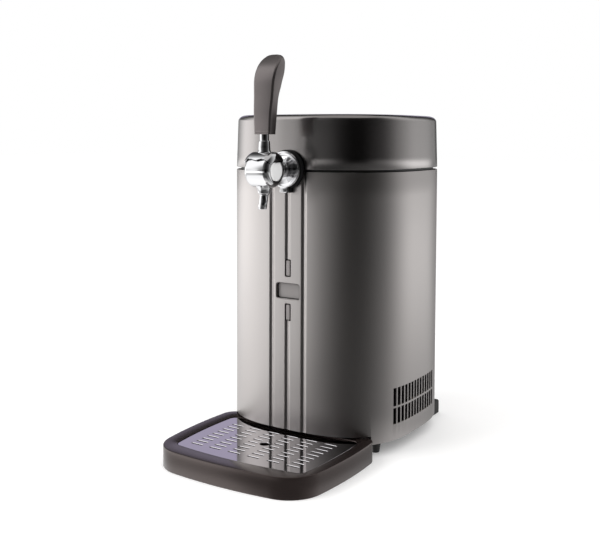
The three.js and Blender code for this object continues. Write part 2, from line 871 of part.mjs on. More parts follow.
function lidSkin(grow, low, drop, steps = drumSteps) {
  const crownLow = lidTop - lidCrownHeight - lidDome;
  const rings = [lidRing(grow, low)];
  for (let i = 0; i <= steps; i++) {
    const angle = (Math.PI * i) / 2 / steps;
    const inset = lidDraftInset + grow + (lidCrownInset - lidDraftInset) * (1 - Math.cos(angle));
    rings.push(lidRing(inset, crownLow + lidCrownHeight * Math.sin(angle) - drop));
  }
  const domeInset = lidCrownInset + (halfWidth - lidCrownInset) / 2;
  rings.push(lidRing(domeInset, lidTop - lidDome / 4 - drop));
  return loft(rings);
}

add(dispenser, "lid_shell", cut(lidSkin(0, lidBottom, 0, filletSteps),
  lidSkin(lidWall, lidBottom - overrun, lidWall), shankBoreTool, slotBelowShank), lidMetal);

const linerLow = lipTop + seat + gasketHeight + seat;
const linerOuter = lidLinerRadius + lidLinerWall;
const linerFlange = prism(squircle(lidWall + slack), linerLow, linerLow + lidLinerWall,
  [circle(lidLinerRadius, 2 * roundSteps)]);
const linerHat = turned([
  [lidLinerRadius, linerLow],
  [linerOuter, linerLow],
  [linerOuter, lidLinerTop],
  [0, lidLinerTop],
  [0, lidLinerTop - lidLinerWall],
  [lidLinerRadius, lidLinerTop - lidLinerWall],
  [lidLinerRadius, linerLow],
], 2 * roundSteps);
const nutSweep = block(nutWidth + 2 * overrun, halfDepth, nutWidth + overrun, 0,
  -halfDepth / 2 - lidWall - slack, tapLevel - nutWidth / 2);
add(dispenser, "lid_liner", cut(join(linerFlange, linerHat), nutSweep), whitePlastic);

const lidFoamHollow = rod(2 * (linerOuter + seat), linerLow, lidLinerTop + seat, 2 * roundSteps);
const lidFoamFloor = linerLow + lidLinerWall + seat;
add(dispenser, "lid_insulation", cut(lidSkin(lidWall + slack, lidFoamFloor, lidWall + slack), lidFoamHollow,
  nutSweep), foam);

const lidGasketRing = prism(squircle(lipInset), lipTop + seat, lipTop + seat + gasketHeight,
  [squircle(lipInset + lipWall)]);
const gasketGap = block(nutWidth + 2 * overrun, halfDepth, lidHeight, 0, -halfDepth / 2, lipTop - overrun);
add(dispenser, "lid_gasket", cut(lidGasketRing, gasketGap), rubber);

// Hinge at the rear of the seam

const hingeLevel = bodyTop + seamGap / 2;
const knuckleRadius = hingeKnuckleDiameter / 2;
const leafBack = halfDepth + seat;
const middleKnuckle = hingeWidth * hingeKnuckleShare;

function knuckle(from, to) {
  return rod(hingeKnuckleDiameter, from, to, smallSteps).rotateY(Math.PI / 2)
    .translate(0, hingeReach, hingeLevel);
}

function leaf(width, low, height, x) {
  return block(width, hingeLeafThickness, height, x, leafBack + hingeLeafThickness / 2, low);
}

const pinHole = rod(hingePinDiameter + seat, -hingeWidth, hingeWidth, smallSteps).rotateY(Math.PI / 2)
  .translate(0, hingeReach, hingeLevel);
const sideKnuckle = (hingeWidth - middleKnuckle) / 2 - seat;
const sideKnuckleCentre = hingeWidth / 2 - sideKnuckle / 2;
const bodyKnuckles = [-1, 1].map((side) => {
  const centre = side * sideKnuckleCentre;
  const barrel = knuckle(centre - sideKnuckle / 2, centre + sideKnuckle / 2);
  const web = block(sideKnuckle, knuckleRadius + hingeOffset - seat, knuckleRadius, centre,
    leafBack + (knuckleRadius + hingeOffset - seat) / 2, hingeLevel - knuckleRadius);
  const trimmed = common(web, block(sideKnuckle, hingeOffset - seat, hingeWidth, centre,
    leafBack + (hingeOffset - seat) / 2, hingeLevel - hingeWidth / 2));
  return [barrel, trimmed];
}).flat();
const leafTop = bodyTop - seamGap;
const lowLeaf = leaf(hingeWidth, leafTop - hingeLeafHeight, hingeLeafHeight + knuckleRadius / 2, 0);
add(dispenser, "hinge_base", cut(join(lowLeaf, ...bodyKnuckles), pinHole), chrome);

const topLeafLow = hingeLevel + knuckleRadius + seat;
const topLeaf = leaf(hingeWidth, topLeafLow, hingeLeafHeight, 0);
const lidKnuckle = knuckle(-middleKnuckle / 2, middleKnuckle / 2);
const lidWeb = block(middleKnuckle, hingeOffset - seat, topLeafLow + seat - hingeLevel, 0,
  leafBack + (hingeOffset - seat) / 2, hingeLevel);
add(dispenser, "hinge_leaf", cut(join(topLeaf, lidWeb, lidKnuckle), pinHole), chrome);
add(dispenser, "hinge_pin", rod(hingePinDiameter, -hingeWidth / 2, hingeWidth / 2, smallSteps)
  .rotateY(Math.PI / 2).translate(0, hingeReach, hingeLevel), chrome);

// Tap body: drum with a neck and a shank that runs back through the seam

const slotHalf = stemCoreDiameter / 2 + slack;

function stemSlot() {
  const reach = drumRadius + overrun;
  const travel = THREE.MathUtils.degToRad(leverTravel);
  const outline = [new THREE.Vector2(slotHalf, 0), new THREE.Vector2(slotHalf, reach)];
  for (let i = 0; i <= filletSteps; i++) {
    const angle = (travel * i) / filletSteps;
    outline.push(new THREE.Vector2(-reach * Math.sin(angle), reach * Math.cos(angle)));
  }
  const [forwardY, forwardZ] = [-Math.cos(travel) * slotHalf, -Math.sin(travel) * slotHalf];
  outline.push(new THREE.Vector2(forwardY - reach * Math.sin(travel), forwardZ + reach * Math.cos(travel)));
  outline.push(new THREE.Vector2(forwardY, forwardZ));
  return prismX(outline, -slotHalf, slotHalf).translate(0, -drumReach, tapLevel);
}

function drum() {
  const half = drumLength / 2;
  const profile = [[0, -half]];
  for (const end of [-1, 1]) {
    for (let i = 0; i <= drumSteps; i++) {
      const angle = (Math.PI / 2) * (end < 0 ? 1 - i / drumSteps : i / drumSteps);
      const radius = drumRadius - drumRound * (1 - Math.cos(angle));
      profile.push([radius, end * (half - drumRound * (1 - Math.sin(angle)))]);
    }
  }
  profile.push([0, half]);
  return alongDrum(turned(profile));
}

const bracketBack = bracketFront - bracketDepth;
const shankEnd = bracketBack - nutThickness - seat - overrun;
const barbEnd = shankEnd - barbLength;
const neckProfile = [
  [0, barbEnd],
  [barbDiameter / 2, barbEnd],
  [barbDiameter / 2, shankEnd],
  [shankDiameter / 2, shankEnd],
  [shankDiameter / 2, flangeFront],
  [neckDiameter / 2, flangeFront],
  [neckDiameter / 2, flangeFront + neckRingWidth],
  [neckRingDiameter / 2, flangeFront + neckRingWidth],
  [neckRingDiameter / 2, flangeFront + 2 * neckRingWidth],
  [neckDiameter / 2, flangeFront + 2 * neckRingWidth],
  [neckDiameter / 2, drumReach],
  [0, drumReach],
];
const collarTop = tapLevel - drumRadius;
const collarLow = collarTop - collarDrop;
const collar = turned([
  [0, collarLow],
  [collarDiameter / 2 - overrun / 2, collarLow],
  [collarDiameter / 2, collarTop],
  [collarDiameter / 2, tapLevel - drumRadius / 2],
  [0, tapLevel - drumRadius / 2],
], smallSteps).translate(0, -drumReach, 0);
const drumCavity = alongDrum(rod(drumBore, -drumLength, drumLength));
const neckPassage = alongTap(rod(shankBore, barbEnd - overrun, drumReach, smallSteps));
const collarPassage = rod(spoutBore, collarLow - overrun, tapLevel, smallSteps).translate(0, -drumReach, 0);
const tapBody = cut(join(drum(), alongTap(turned(neckProfile, roundSteps)), collar), drumCavity, neckPassage,
  collarPassage, stemSlot());
add(dispenser, "tap_body", tapBody, chrome);

const capBoss = drumBore - 2 * seat;
for (const [word, side] of [["left", -1], ["right", 1]]) {
  const start = drumLength / 2;
  const endCap = turned([
    [0, rotorLength / 2 + seat],
    [capBoss / 2, rotorLength / 2 + seat],
    [capBoss / 2, start + seat],
    [endCapDiameter / 2, start + seat],
    [endCapDiameter / 2, start + endCapThickness / 2],
    [endCapDiameter / 2 - endCapThickness / 2, start + endCapThickness],
    [0, start + endCapThickness],
  ]);
  add(dispenser, `tap_end_cap_${word}`, alongDrum(side > 0 ? endCap : endCap.rotateY(Math.PI)), chrome);
}

const spoutTop = collarLow - seat;
const spoutTip = tapLevel - spoutTipDrop;

function spoutTube(diameter, grow) {
  const lean = spoutLean / (spoutTop - spoutTip);
  const rings = [spoutTop + grow, spoutTip - grow].map((level) =>
    ringAt(circle(diameter / 2, smallSteps, 0, -drumReach - (spoutTop - level) * lean), level));
  return loft(rings);
}

add(dispenser, "tap_spout", cut(spoutTube(spoutDiameter, 0), spoutTube(spoutBore, overrun)), chrome);

function discWithTab(diameter, tabWidth, tabDrop, from, to, bore) {
  const tab = rectangle(tabWidth, diameter / 2 + tabDrop, 0, -(diameter / 2 + tabDrop) / 2);
  const body = join(prismY(circle(diameter / 2), from, to), prismY(tab, from, to));
  return cut(body.translate(0, 0, tapLevel), alongTap(rod(bore, from - overrun, to + overrun)));
}

const shankFit = shankDiameter + 2 * seat;
add(dispenser, "tap_gasket", discWithTab(gasketDiameter, gasketTabWidth, flangeTabDrop, halfDepth + seat,
  flangeBack - seat, shankFit), rubber);
const flangeDiscSolid = discWithTab(flangeDiameter, flangeTabWidth, flangeTabDrop, flangeBack,
  flangeFront - seat, shankFit);
const dish = alongTap(turned([
  [0, flangeFront - seat - flangeDish],
  [flangeDiameter / 2 - flangeRim - flangeDish, flangeFront - seat - flangeDish],
  [flangeDiameter / 2 - flangeRim, flangeFront],
  [0, flangeFront],
]));
add(dispenser, "tap_flange", cut(flangeDiscSolid, dish), chrome);

const bracketBlock = block(bracketWidth, bracketDepth - seat, tapLevel - deckTop - seat, 0,
  -(bracketFront + bracketBack + seat) / 2, deckTop + seat);
add(dispenser, "tap_bracket", cut(bracketBlock, alongTap(rod(shankFit, 0, halfDepth))), aluminium);

const nutRing = prismY(circle(nutWidth / 2 / Math.cos(Math.PI / 6), 6), bracketBack - nutThickness,
  bracketBack).translate(0, 0, tapLevel);
add(dispenser, "tap_nut", cut(nutRing, alongTap(rod(shankFit, 0, halfDepth))), chrome);

// Lever: rotor inside the drum, a saddle cap over it, the stem and the handle

const rotorPassage = rod(shankBore, -rotorDiameter, rotorDiameter, smallSteps)
  .rotateX(Math.PI / 2 + THREE.MathUtils.degToRad(leverTravel))
  .translate(0, -drumReach, tapLevel);
const stemSeat = rotorDiameter / 4;
const stemSocket = rod(stemCoreDiameter + 2 * seat, stemSeat, rotorDiameter, smallSteps)
  .translate(0, -drumReach, tapLevel);
add(dispenser, "valve_rotor", cut(alongDrum(rod(rotorDiameter, -rotorLength / 2, rotorLength / 2)),
  rotorPassage, stemSocket), whitePlastic);

const capInner = drumRadius + seat;
const capOuter = capInner + capThickness;
const capHalf = drumLength / 2 + seat + capThickness;

function capWedge(spread, length, reach) {
  const half = THREE.MathUtils.degToRad(spread);
  const outline = [new THREE.Vector2(0, 0)];
  for (let i = 0; i <= filletSteps; i++) {
    const angle = -half + (2 * half * i) / filletSteps;
    outline.push(new THREE.Vector2(-reach * Math.sin(angle), reach * Math.cos(angle)));
  }
  return prismX(outline, -length, length).translate(0, -drumReach, tapLevel);
}

function leverCap() {
  const barrel = alongDrum(turned([
    [0, -capHalf],
    [capOuter - capThickness, -capHalf],
    [capOuter, -capHalf + capThickness],
    [capOuter, capHalf - capThickness],
    [capOuter - capThickness, capHalf],
    [0, capHalf],
  ]));
  const inside = capHalf - capThickness;
  const hollow = alongDrum(rod(2 * capInner, -inside, inside));
  const saddle = common(cut(barrel, hollow), capWedge(capSpread, capHalf + overrun, 2 * capOuter));
  const earLow = drumRadius - capEarDrop;
  const earKeep = block(2 * capHalf + overrun, capEarWidth, capOuter, 0, -drumReach, tapLevel + earLow);
  const shoulder = block(2 * capHalf + overrun, 2 * capOuter, capOuter, 0, -drumReach,
    tapLevel + capInner * Math.cos(THREE.MathUtils.degToRad(capSpread)));
  return common(saddle, join(earKeep, shoulder));
}

const stemHole = rod(stemCoreDiameter + 2 * seat, 0, 2 * capOuter, smallSteps)
  .translate(0, -drumReach, tapLevel);
add(dispenser, "lever_cap", cut(leverCap(), stemHole), chrome);

const stemBaseRise = capOuter + seat;
const stemProfile = [
  [0, stemSeat + seat],
  [stemCoreDiameter / 2, stemSeat + seat],
  [stemCoreDiameter / 2, stemBaseRise],
  [stemBaseDiameter / 2, stemBaseRise],
  [stemWaistDiameter / 2, stemStepRise],
  [stemNeckDiameter / 2, stemStepRise],
  [stemNeckDiameter / 2, handleRise - seat],
  [stemCoreDiameter / 2, handleRise - seat],
  [stemCoreDiameter / 2, handleRise + stemCoreDiameter],
  [0, handleRise + stemCoreDiameter],
];
add(dispenser, "lever_stem", turned(stemProfile, smallSteps).translate(0, -drumReach, tapLevel), chrome);

// Each row: share of the height, then shares of the half width, and of the reach back for the front face
// and for the rear face, both measured from the handle's foremost line
const handleShares = [
  [0, 0.69, 0, 0.456],
  [0.27, 0.8, 0.013, 0.513],
  [0.465, 0.894, 0.073, 0.573],
  [0.59, 0.951, 0.098, 0.712],
  [0.66, 0.986, 0.123, 0.782],
  [0.715, 1, 0.171, 0.854],
  [0.795, 0.993, 0.278, 0.94],
  [0.872, 0.972, 0.449, 0.975],
  [0.915, 0.95, 0.623, 0.99],
  [0.955, 0.87, 0.78, 1],
  [0.98, 0.65, 0.87, 0.99],
  [1, 0.38, 0.92, 0.97],
];

function handleRing([rise, wide, front, back]) {
  const halfAcross = (wide * handleWidth) / 2;
  const halfAlong = ((back - front) * handleReach) / 2;
  const centreY = -drumReach - handleLead + ((front + back) * handleReach) / 2;
  const level = tapLevel + handleRise + rise * handleHeight;
  const ring = [];
  for (let i = 0; i < smallSteps; i++) {
    const angle = (2 * Math.PI * (i + 0.5)) / smallSteps;
    const [c, s] = [Math.cos(angle), Math.sin(angle)];
    const x = halfAcross * Math.sign(c) * Math.abs(c) ** handleCornerShare;
    const y = halfAlong * Math.sign(s) * Math.abs(s) ** handleCornerShare;
    ring.push(new THREE.Vector3(x, centreY + y, level));
  }
  return ring;
}

const handleSocket = rod(stemCoreDiameter + 2 * seat, handleRise - overrun,
  handleRise + stemCoreDiameter + seat, smallSteps).translate(0, -drumReach, tapLevel);
add(dispenser, "lever_handle", cut(loft(handleShares.map(handleRing)), handleSocket), handlePlastic);

// Beer line from the barb to the coupler on its post

const couplerLow = deckTop + seat;
const couplerBody = rod(couplerDiameter, couplerLow, couplerLow + couplerHeight, smallSteps)
  .translate(couplerX, couplerY, 0);
const couplerSocket = rod(couplerPostDiameter + 2 * seat, couplerLow - overrun,
  couplerLow + couplerPostHeight, smallSteps).translate(couplerX, couplerY, 0);
const portLevel = couplerLow + couplerHeight / 2;
const portReach = couplerDiameter / 2 + couplerPort;
const port = rod(barbDiameter, 0, portReach, smallSteps).rotateY(Math.PI / 2)
  .translate(couplerX, couplerY, portLevel);
add(dispenser, "keg_coupler", cut(join(couplerBody, port), couplerSocket), chrome);

const lineStart = -barbEnd + seat;
const lineEnd = couplerX + portReach + seat;
const linePath = new THREE.CatmullRomCurve3([
  new THREE.Vector3(0, lineStart, tapLevel),
  new THREE.Vector3(0, lineStart + lineDiameter, tapLevel),
  ...lineRouteShares.map(([x, y]) => new THREE.Vector3(couplerX * x, couplerY * y, portLevel)),
  new THREE.Vector3(lineEnd + lineDiameter, couplerY, portLevel),
  new THREE.Vector3(lineEnd, couplerY, portLevel),
]);
const lineShape = new THREE.Shape(circle(lineDiameter / 2, smallSteps / 2));
lineShape.holes = [new THREE.Path(circle(lineBore / 2, smallSteps / 2))];
add(dispenser, "beer_line", new THREE.ExtrudeGeometry(lineShape,
  { steps: lineSteps, bevelEnabled: false, extrudePath: linePath }), clearTube);

// Drip tray and its slotted plate

const traySideTrim = trayRimSide + trayLedge;
const trayFrontTrim = trayRimFront + trayLedge;
const innerRear = trayBack + trayRimSide;
const trayRings = [
  ringAt(trayOutline(0, 0, trayBack, trayFrontCorner, trayRearCorner), 0),
  ringAt(trayOutline(0, 0, trayBack, trayFrontCorner, trayRearCorner), trayHeight),
  ringAt(trayOutline(trayRimFront, trayRimSide, innerRear, plateCorner, plateCorner),
    trayHeight - trayRimSlope),
  ringAt(trayOutline(trayRimFront, trayRimSide, innerRear, plateCorner, plateCorner), plateBottom - seat),
  ringAt(trayOutline(trayFrontTrim, traySideTrim, trayBack + trayShelf, plateCorner, plateCorner),
    plateBottom - seat),
  ringAt(trayOutline(trayFrontTrim, traySideTrim, trayBack + trayShelf, plateCorner, plateCorner),
    trayFloor),
];
add(dispenser, "drip_tray", loft(trayRings), blackPlastic);

function plateOutline() {
  const outline = trayOutline(trayRimFront + slack, trayRimSide + slack, innerRear + slack,
    plateCorner - slack, plateCorner - slack);
  return prism(outline, plateBottom, plateTop);
}

function plateHoles() {
  const holes = [];
  const drainReach = halfDepth + drainOverhang;
  const drainClear = drainDiameter / 2 + slotWidth;
  for (let row = 0; row < slotRows; row++) {
    for (let column = 0; column < slotColumns; column++) {
      const x = (column - (slotColumns - 1) / 2) * slotPitchX;
      const y = -(halfDepth + slotFirstOverhang + row * slotPitchY);
      const near = Math.abs(y + drainReach) < drainClear;
      const inner = Math.abs(x) - slotLength / 2;
      const trim = near ? Math.max(0, drainClear - inner) : 0;
      const centre = Math.sign(x) * (Math.abs(x) + trim / 2);
      const length = slotLength - trim;
      const outline = [
        [-length / 2, 0],
        [-length / 2 + slotWidth / 2, -slotWidth / 2],
        [length / 2 - slotWidth / 2, -slotWidth / 2],
        [length / 2, 0],
        [length / 2 - slotWidth / 2, slotWidth / 2],
        [-length / 2 + slotWidth / 2, slotWidth / 2],
      ].map(([u, v]) => new THREE.Vector2(centre + u, y + v));
      holes.push(prism(outline, plateBottom - overrun, plateTop + overrun));
    }
  }
  holes.push(rod(drainDiameter, plateBottom - overrun, plateTop + overrun, smallSteps)
    .translate(0, -drainReach, 0));
  return holes;
}

const bodyShadow = prism(squircle(-slack - seat), plateBottom - overrun, plateTop + overrun);
add(dispenser, "drip_plate", cut(plateOutline(), bodyShadow, ...plateHoles()), platePolish);

// Rear panel behind its opening, with exhaust slots, the inlet and the switch

const panelFace = bodyFaceY(panelWidth / 2 + panelMargin, shellWall) - seat;
const panelBack = panelFace - panelThickness;
const panelMiddle = panelLevel + panelHeight / 2;
const fittingCentre = panelLevel + fittingLevel;

function exhaustSlots() {
  const slots = [];
  for (let i = 0; i < exhaustCount; i++) {
    const x = (i - (exhaustCount - 1) / 2) * exhaustPitch;
    slots.push(block(exhaustWidth, panelThickness + 2 * overrun, exhaustHeight, x,
      (panelFace + panelBack) / 2, panelLevel + panelHeight - exhaustHeight - panelMargin));
  }
  return slots;
}

function fittingHole(width, height, x) {
  return block(width + 2 * seat, panelThickness + 2 * overrun, height + 2 * seat, x,
    (panelFace + panelBack) / 2, fittingCentre - height / 2 - seat);
}

const panelPlate = block(panelWidth + 2 * panelMargin, panelThickness, panelHeight + 2 * panelMargin, 0,
  (panelFace + panelBack) / 2, panelMiddle - panelHeight / 2 - panelMargin);
const panRimClear = prism(squircle(shellWall), footHeight, panTop + panRimHeight + seat);
add(dispenser, "rear_panel", cut(panelPlate, ...exhaustSlots(), common(panRimClear, panelPlate),
  fittingHole(inletWidth, inletHeight, inletPlace), fittingHole(switchWidth, switchHeight, switchPlace)),
  blackPlastic);

function fittingBody(width, height, x, depth) {
  const barrel = block(width, depth, height, x, panelFace + seat - depth / 2, fittingCentre - height / 2);
  const rim = block(width + 2 * fittingRim, fittingRim, height + 2 * fittingRim, x,
    panelFace + seat + fittingRim / 2, fittingCentre - height / 2 - fittingRim);
  return join(barrel.translate(0, overrun / 2, 0), rim);
}

const inletSocket = block(inletWidth - 2 * fittingRim, inletSocketDepth + fittingRim,
  inletHeight - 2 * fittingRim, inletPlace, panelFace + seat - (inletSocketDepth - fittingRim) / 2 + seat,
  fittingCentre - inletHeight / 2 + fittingRim);
add(dispenser, "power_inlet", cut(fittingBody(inletWidth, inletHeight, inletPlace, inletDepth), inletSocket),
  blackPlastic);

const rockerWidth = switchWidth - 2 * fittingRim;
const rockerHeight = switchHeight - 2 * fittingRim;
const rockerWell = block(rockerWidth + 2 * seat, inletSocketDepth, rockerHeight + 2 * seat, switchPlace,
  panelFace + seat + fittingRim - inletSocketDepth / 2 + seat, fittingCentre - rockerHeight / 2 - seat);
add(dispenser, "switch_housing", cut(fittingBody(switchWidth, switchHeight, switchPlace, inletDepth),
  rockerWell), blackPlastic);

const rockerFace = panelFace + seat + fittingRim;
const rockerAxle = rockerFace - rockerHeight / 2;

function rocker() {
  const half = rockerWidth / 2 - 2 * slack;
  const rise = half * Math.tan(THREE.MathUtils.degToRad(rockerTravel));
  const outline = [
    [-half, rockerAxle - rockerHeight / 4],
    [half, rockerAxle - rockerHeight / 4],
    [half, rockerFace + rise / 2],
    [0, rockerFace - rise / 2],
    [-half, rockerFace + rise / 2],
  ].map(([x, y]) => new THREE.Vector2(x, y - rockerAxle));
  const reach = rockerHeight / 2 - seat;
  const body = prism(outline, fittingCentre - reach, fittingCentre + reach);
  return body.rotateZ(THREE.MathUtils.degToRad(-rockerTravel)).translate(switchPlace, rockerAxle, 0);
}

add(dispenser, "rocker_switch", rocker(), blackPlastic);

// Power supply on the pan and the control board behind the insulation

const inletBack = panelFace + seat - inletDepth + overrun / 2;
const supplyFront = fanSize / 2 + 2 * slack;
const supplyDepth = inletBack - leadRoom - supplyFront;
const supplyPlace = supplyFront + supplyDepth / 2;
add(dispenser, "power_supply", block(supplyWidth, supplyDepth, supplyHeight, 0, supplyPlace, panTop + seat),
  aluminium);

const boardBack = halfDepth - foamInset + seat;

function controlBoard() {
  const middle = boardBack + boardThickness / 2;
  const board = block(boardWidth, boardThickness, boardHeight, 0, middle, boardLevel);
  const chips = [-boardWidth / 4, boardWidth / 4].map((x) => block(boardWidth / 4, chipHeight,
    boardHeight / 2, x, middle + chipHeight / 2, boardLevel + boardHeight / 4));
  return join(board, ...chips);
}

add(dispenser, "control_board", controlBoard(), boardGreen);

// Leads inside the base: from the inlet to the supply, and from the supply up to the heat pump

function lead(diameter, points, steps) {
  const path = new THREE.CatmullRomCurve3(points.map(([x, y, z]) => new THREE.Vector3(x, y, z)));
  const section = new THREE.Shape(circle(diameter / 2, smallSteps / 2));
  return new THREE.ExtrudeGeometry(section, { steps, bevelEnabled: false, extrudePath: path });
}

const supplyBack = supplyPlace + supplyDepth / 2;
const supplyTop = panTop + seat + supplyHeight;
const leadLevel = supplyTop - leadDiameter;
add(dispenser, "inlet_lead", lead(leadDiameter, [
  [inletPlace, inletBack - seat, fittingCentre],
  [inletPlace, inletBack - seat - leadDiameter, fittingCentre],
  [inletPlace, (inletBack + supplyBack) / 2, (fittingCentre + leadLevel) / 2 - leadSag],
  [inletPlace, supplyBack + seat + leadDiameter, leadLevel],
  [inletPlace, supplyBack + seat, leadLevel],
], leadSteps), rubber);

const pumpLeadLevel = peltierBottom + peltierThickness / 2;
add(dispenser, "pump_lead", lead(pumpLeadDiameter, [
  [pumpLeadPlace, peltierSize / 2 + seat, pumpLeadLevel],
  [pumpLeadPlace, sinkDepth / 2, pumpLeadLevel],
  [pumpLeadPlace, supplyPlace - supplyDepth / 4, pumpLeadLevel - pumpLeadDiameter],
  [pumpLeadPlace, supplyPlace, (pumpLeadLevel + supplyTop) / 2],
  [pumpLeadPlace, supplyPlace, supplyTop + seat],
], 2 * leadSteps), rubber);

// The origin is on the floor under the middle of the whole
dispenser.position.y = (trayReach - rearReach) / 2;

export default dispenser;
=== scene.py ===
"""A mini keg beer dispenser: the visible surfaces and finishes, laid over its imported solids."""
import json
import logging
import math
from dataclasses import dataclass, field
from enum import Enum
from typing import Any, Iterable, Sequence

import bmesh
import bpy
from mathutils import Matrix, Vector


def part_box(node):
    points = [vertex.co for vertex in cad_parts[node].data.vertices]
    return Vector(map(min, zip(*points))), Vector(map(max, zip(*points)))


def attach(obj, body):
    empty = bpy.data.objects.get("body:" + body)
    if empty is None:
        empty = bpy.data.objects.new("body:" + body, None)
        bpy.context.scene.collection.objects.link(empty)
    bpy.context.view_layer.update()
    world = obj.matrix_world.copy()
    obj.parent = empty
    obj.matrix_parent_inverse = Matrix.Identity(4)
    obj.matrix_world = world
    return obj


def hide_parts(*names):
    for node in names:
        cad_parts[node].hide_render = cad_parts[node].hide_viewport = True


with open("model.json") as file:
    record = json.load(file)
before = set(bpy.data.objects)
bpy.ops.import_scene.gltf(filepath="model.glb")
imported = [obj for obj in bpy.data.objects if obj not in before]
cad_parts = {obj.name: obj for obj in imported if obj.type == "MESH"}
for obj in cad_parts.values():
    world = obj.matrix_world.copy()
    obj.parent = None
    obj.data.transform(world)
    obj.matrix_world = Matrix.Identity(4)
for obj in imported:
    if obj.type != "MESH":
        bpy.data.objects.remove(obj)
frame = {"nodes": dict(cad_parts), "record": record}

logging.basicConfig(level=logging.INFO, format="%(message)s")
log = logging.getLogger("dispenser")

MM = 0.001
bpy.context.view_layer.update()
SHELL_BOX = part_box("body_shell")
AXIS_Y = (SHELL_BOX[0][1] + SHELL_BOX[1][1]) / 2
Point = tuple[float, float, float]
Ring = list[Point]
Pair = tuple[float, float]
Pairs = tuple[Pair, ...]
Colour = tuple[float, float, float]
Piece = bpy.types.Object
Socket = bpy.types.NodeSocket


def in_frame(point: Sequence[float]) -> Vector:
    """Turn millimetres about the body's upright axis into metres in the shared frame."""
    return Vector((point[0] * MM, point[1] * MM + AXIS_Y, point[2] * MM))


def smooth_step(share: float) -> float:
    """Ease a share from 0 to 1, with level ends."""
    share = min(1.0, max(0.0, share))
    return share * share * (3 - 2 * share)


class Graph:
    """A node tree being wired up, shader or geometry."""

    def __init__(self, tree: bpy.types.NodeTree) -> None:
        """Keep the tree and empty it.

        Args:
            tree: the node tree.
        """
        self.tree = tree
        self.count = 0
        tree.nodes.clear()

    def node(self, kind: str, inputs: dict[Any, Any] | None = None, **settings: Any) -> bpy.types.Node:
        """Add a node and fill its sockets.

        Args:
            kind: Blender's type name of the node.
            inputs: values or output sockets, by the input's name or number.
            settings: properties of the node itself.

        Returns:
            The new node.
        """
        made = self.tree.nodes.new(kind)
        made.location = (self.count % 12 * 200, -(self.count // 12) * 320)
        self.count += 1
        for name, value in settings.items():
            setattr(made, name, value)
        for key, value in (inputs or {}).items():
            if isinstance(value, Socket):
                self.tree.links.new(value, made.inputs[key])
            else:
                made.inputs[key].default_value = value
        return made

    def math(self, operation: str, *values: Any, clamp: bool = False) -> Socket:
        """Add a Math node.

        Args:
            operation: the name of the sum.
            values: its operands, numbers or output sockets.
            clamp: whether the result is held between 0 and 1.

        Returns:
            The result's socket.
        """
        return self.node("ShaderNodeMath", dict(enumerate(values)), operation=operation,
                         use_clamp=clamp).outputs[0]

    def blend(self, share: Any, low: Any, high: Any) -> Socket:
        """Mix two colours.

        Args:
            share: how much of the second colour shows.
            low: the first colour.
            high: the second colour.

        Returns:
            The mixed colour's socket.
        """
        made = self.node("ShaderNodeMix", {0: share, 6: low, 7: high}, data_type="RGBA")
        return made.outputs[2]

    def ramp(self, value: Any, stops: Sequence[tuple[float, Any]]) -> bpy.types.Node:
        """Add a Color Ramp.

        Args:
            value: what it reads.
            stops: places, each with a grey level or a colour.

        Returns:
            The ramp's node.
        """
        made = self.node("ShaderNodeValToRGB", {0: value})
        bar = made.color_ramp
        while len(bar.elements) < len(stops):
            bar.elements.new(0.5)
        for element, (place, colour) in zip(bar.elements, stops):
            element.position = place
            tint = (colour,) * 3 if isinstance(colour, (int, float)) else tuple(colour)
            element.color = (*tint, 1.0)
        return made


def rgba(colour: Sequence[float]) -> tuple[float, float, float, float]:
    """Give a colour its fourth value."""
    return (colour[0], colour[1], colour[2], 1.0)


def group_tree(name: str, inputs: dict[str, Any], outputs: dict[str, str],
               ) -> tuple[Graph, bpy.types.Node, bpy.types.Node]:
    """Start a shader node group.

    Args:
        name: the group's name.
        inputs: its inputs with their values; a value's kind sets the socket's kind.
        outputs: its outputs with their socket kinds.

    Returns:
        The graph, its input node and its output node.
    """
    tree = bpy.data.node_groups.new(name, "ShaderNodeTree")
    graph = Graph(tree)
    for label, value in inputs.items():
        kind = "Float" if isinstance(value, float) else ("Color" if len(value) == 4 else "Vector")
        socket = tree.interface.new_socket(label, in_out="INPUT", socket_type=f"NodeSocket{kind}")
        socket.default_value = value
    for label, kind in outputs.items():
        tree.interface.new_socket(label, in_out="OUTPUT", socket_type=f"NodeSocket{kind}")
    return graph, graph.node("NodeGroupInput"), graph.node("NodeGroupOutput")


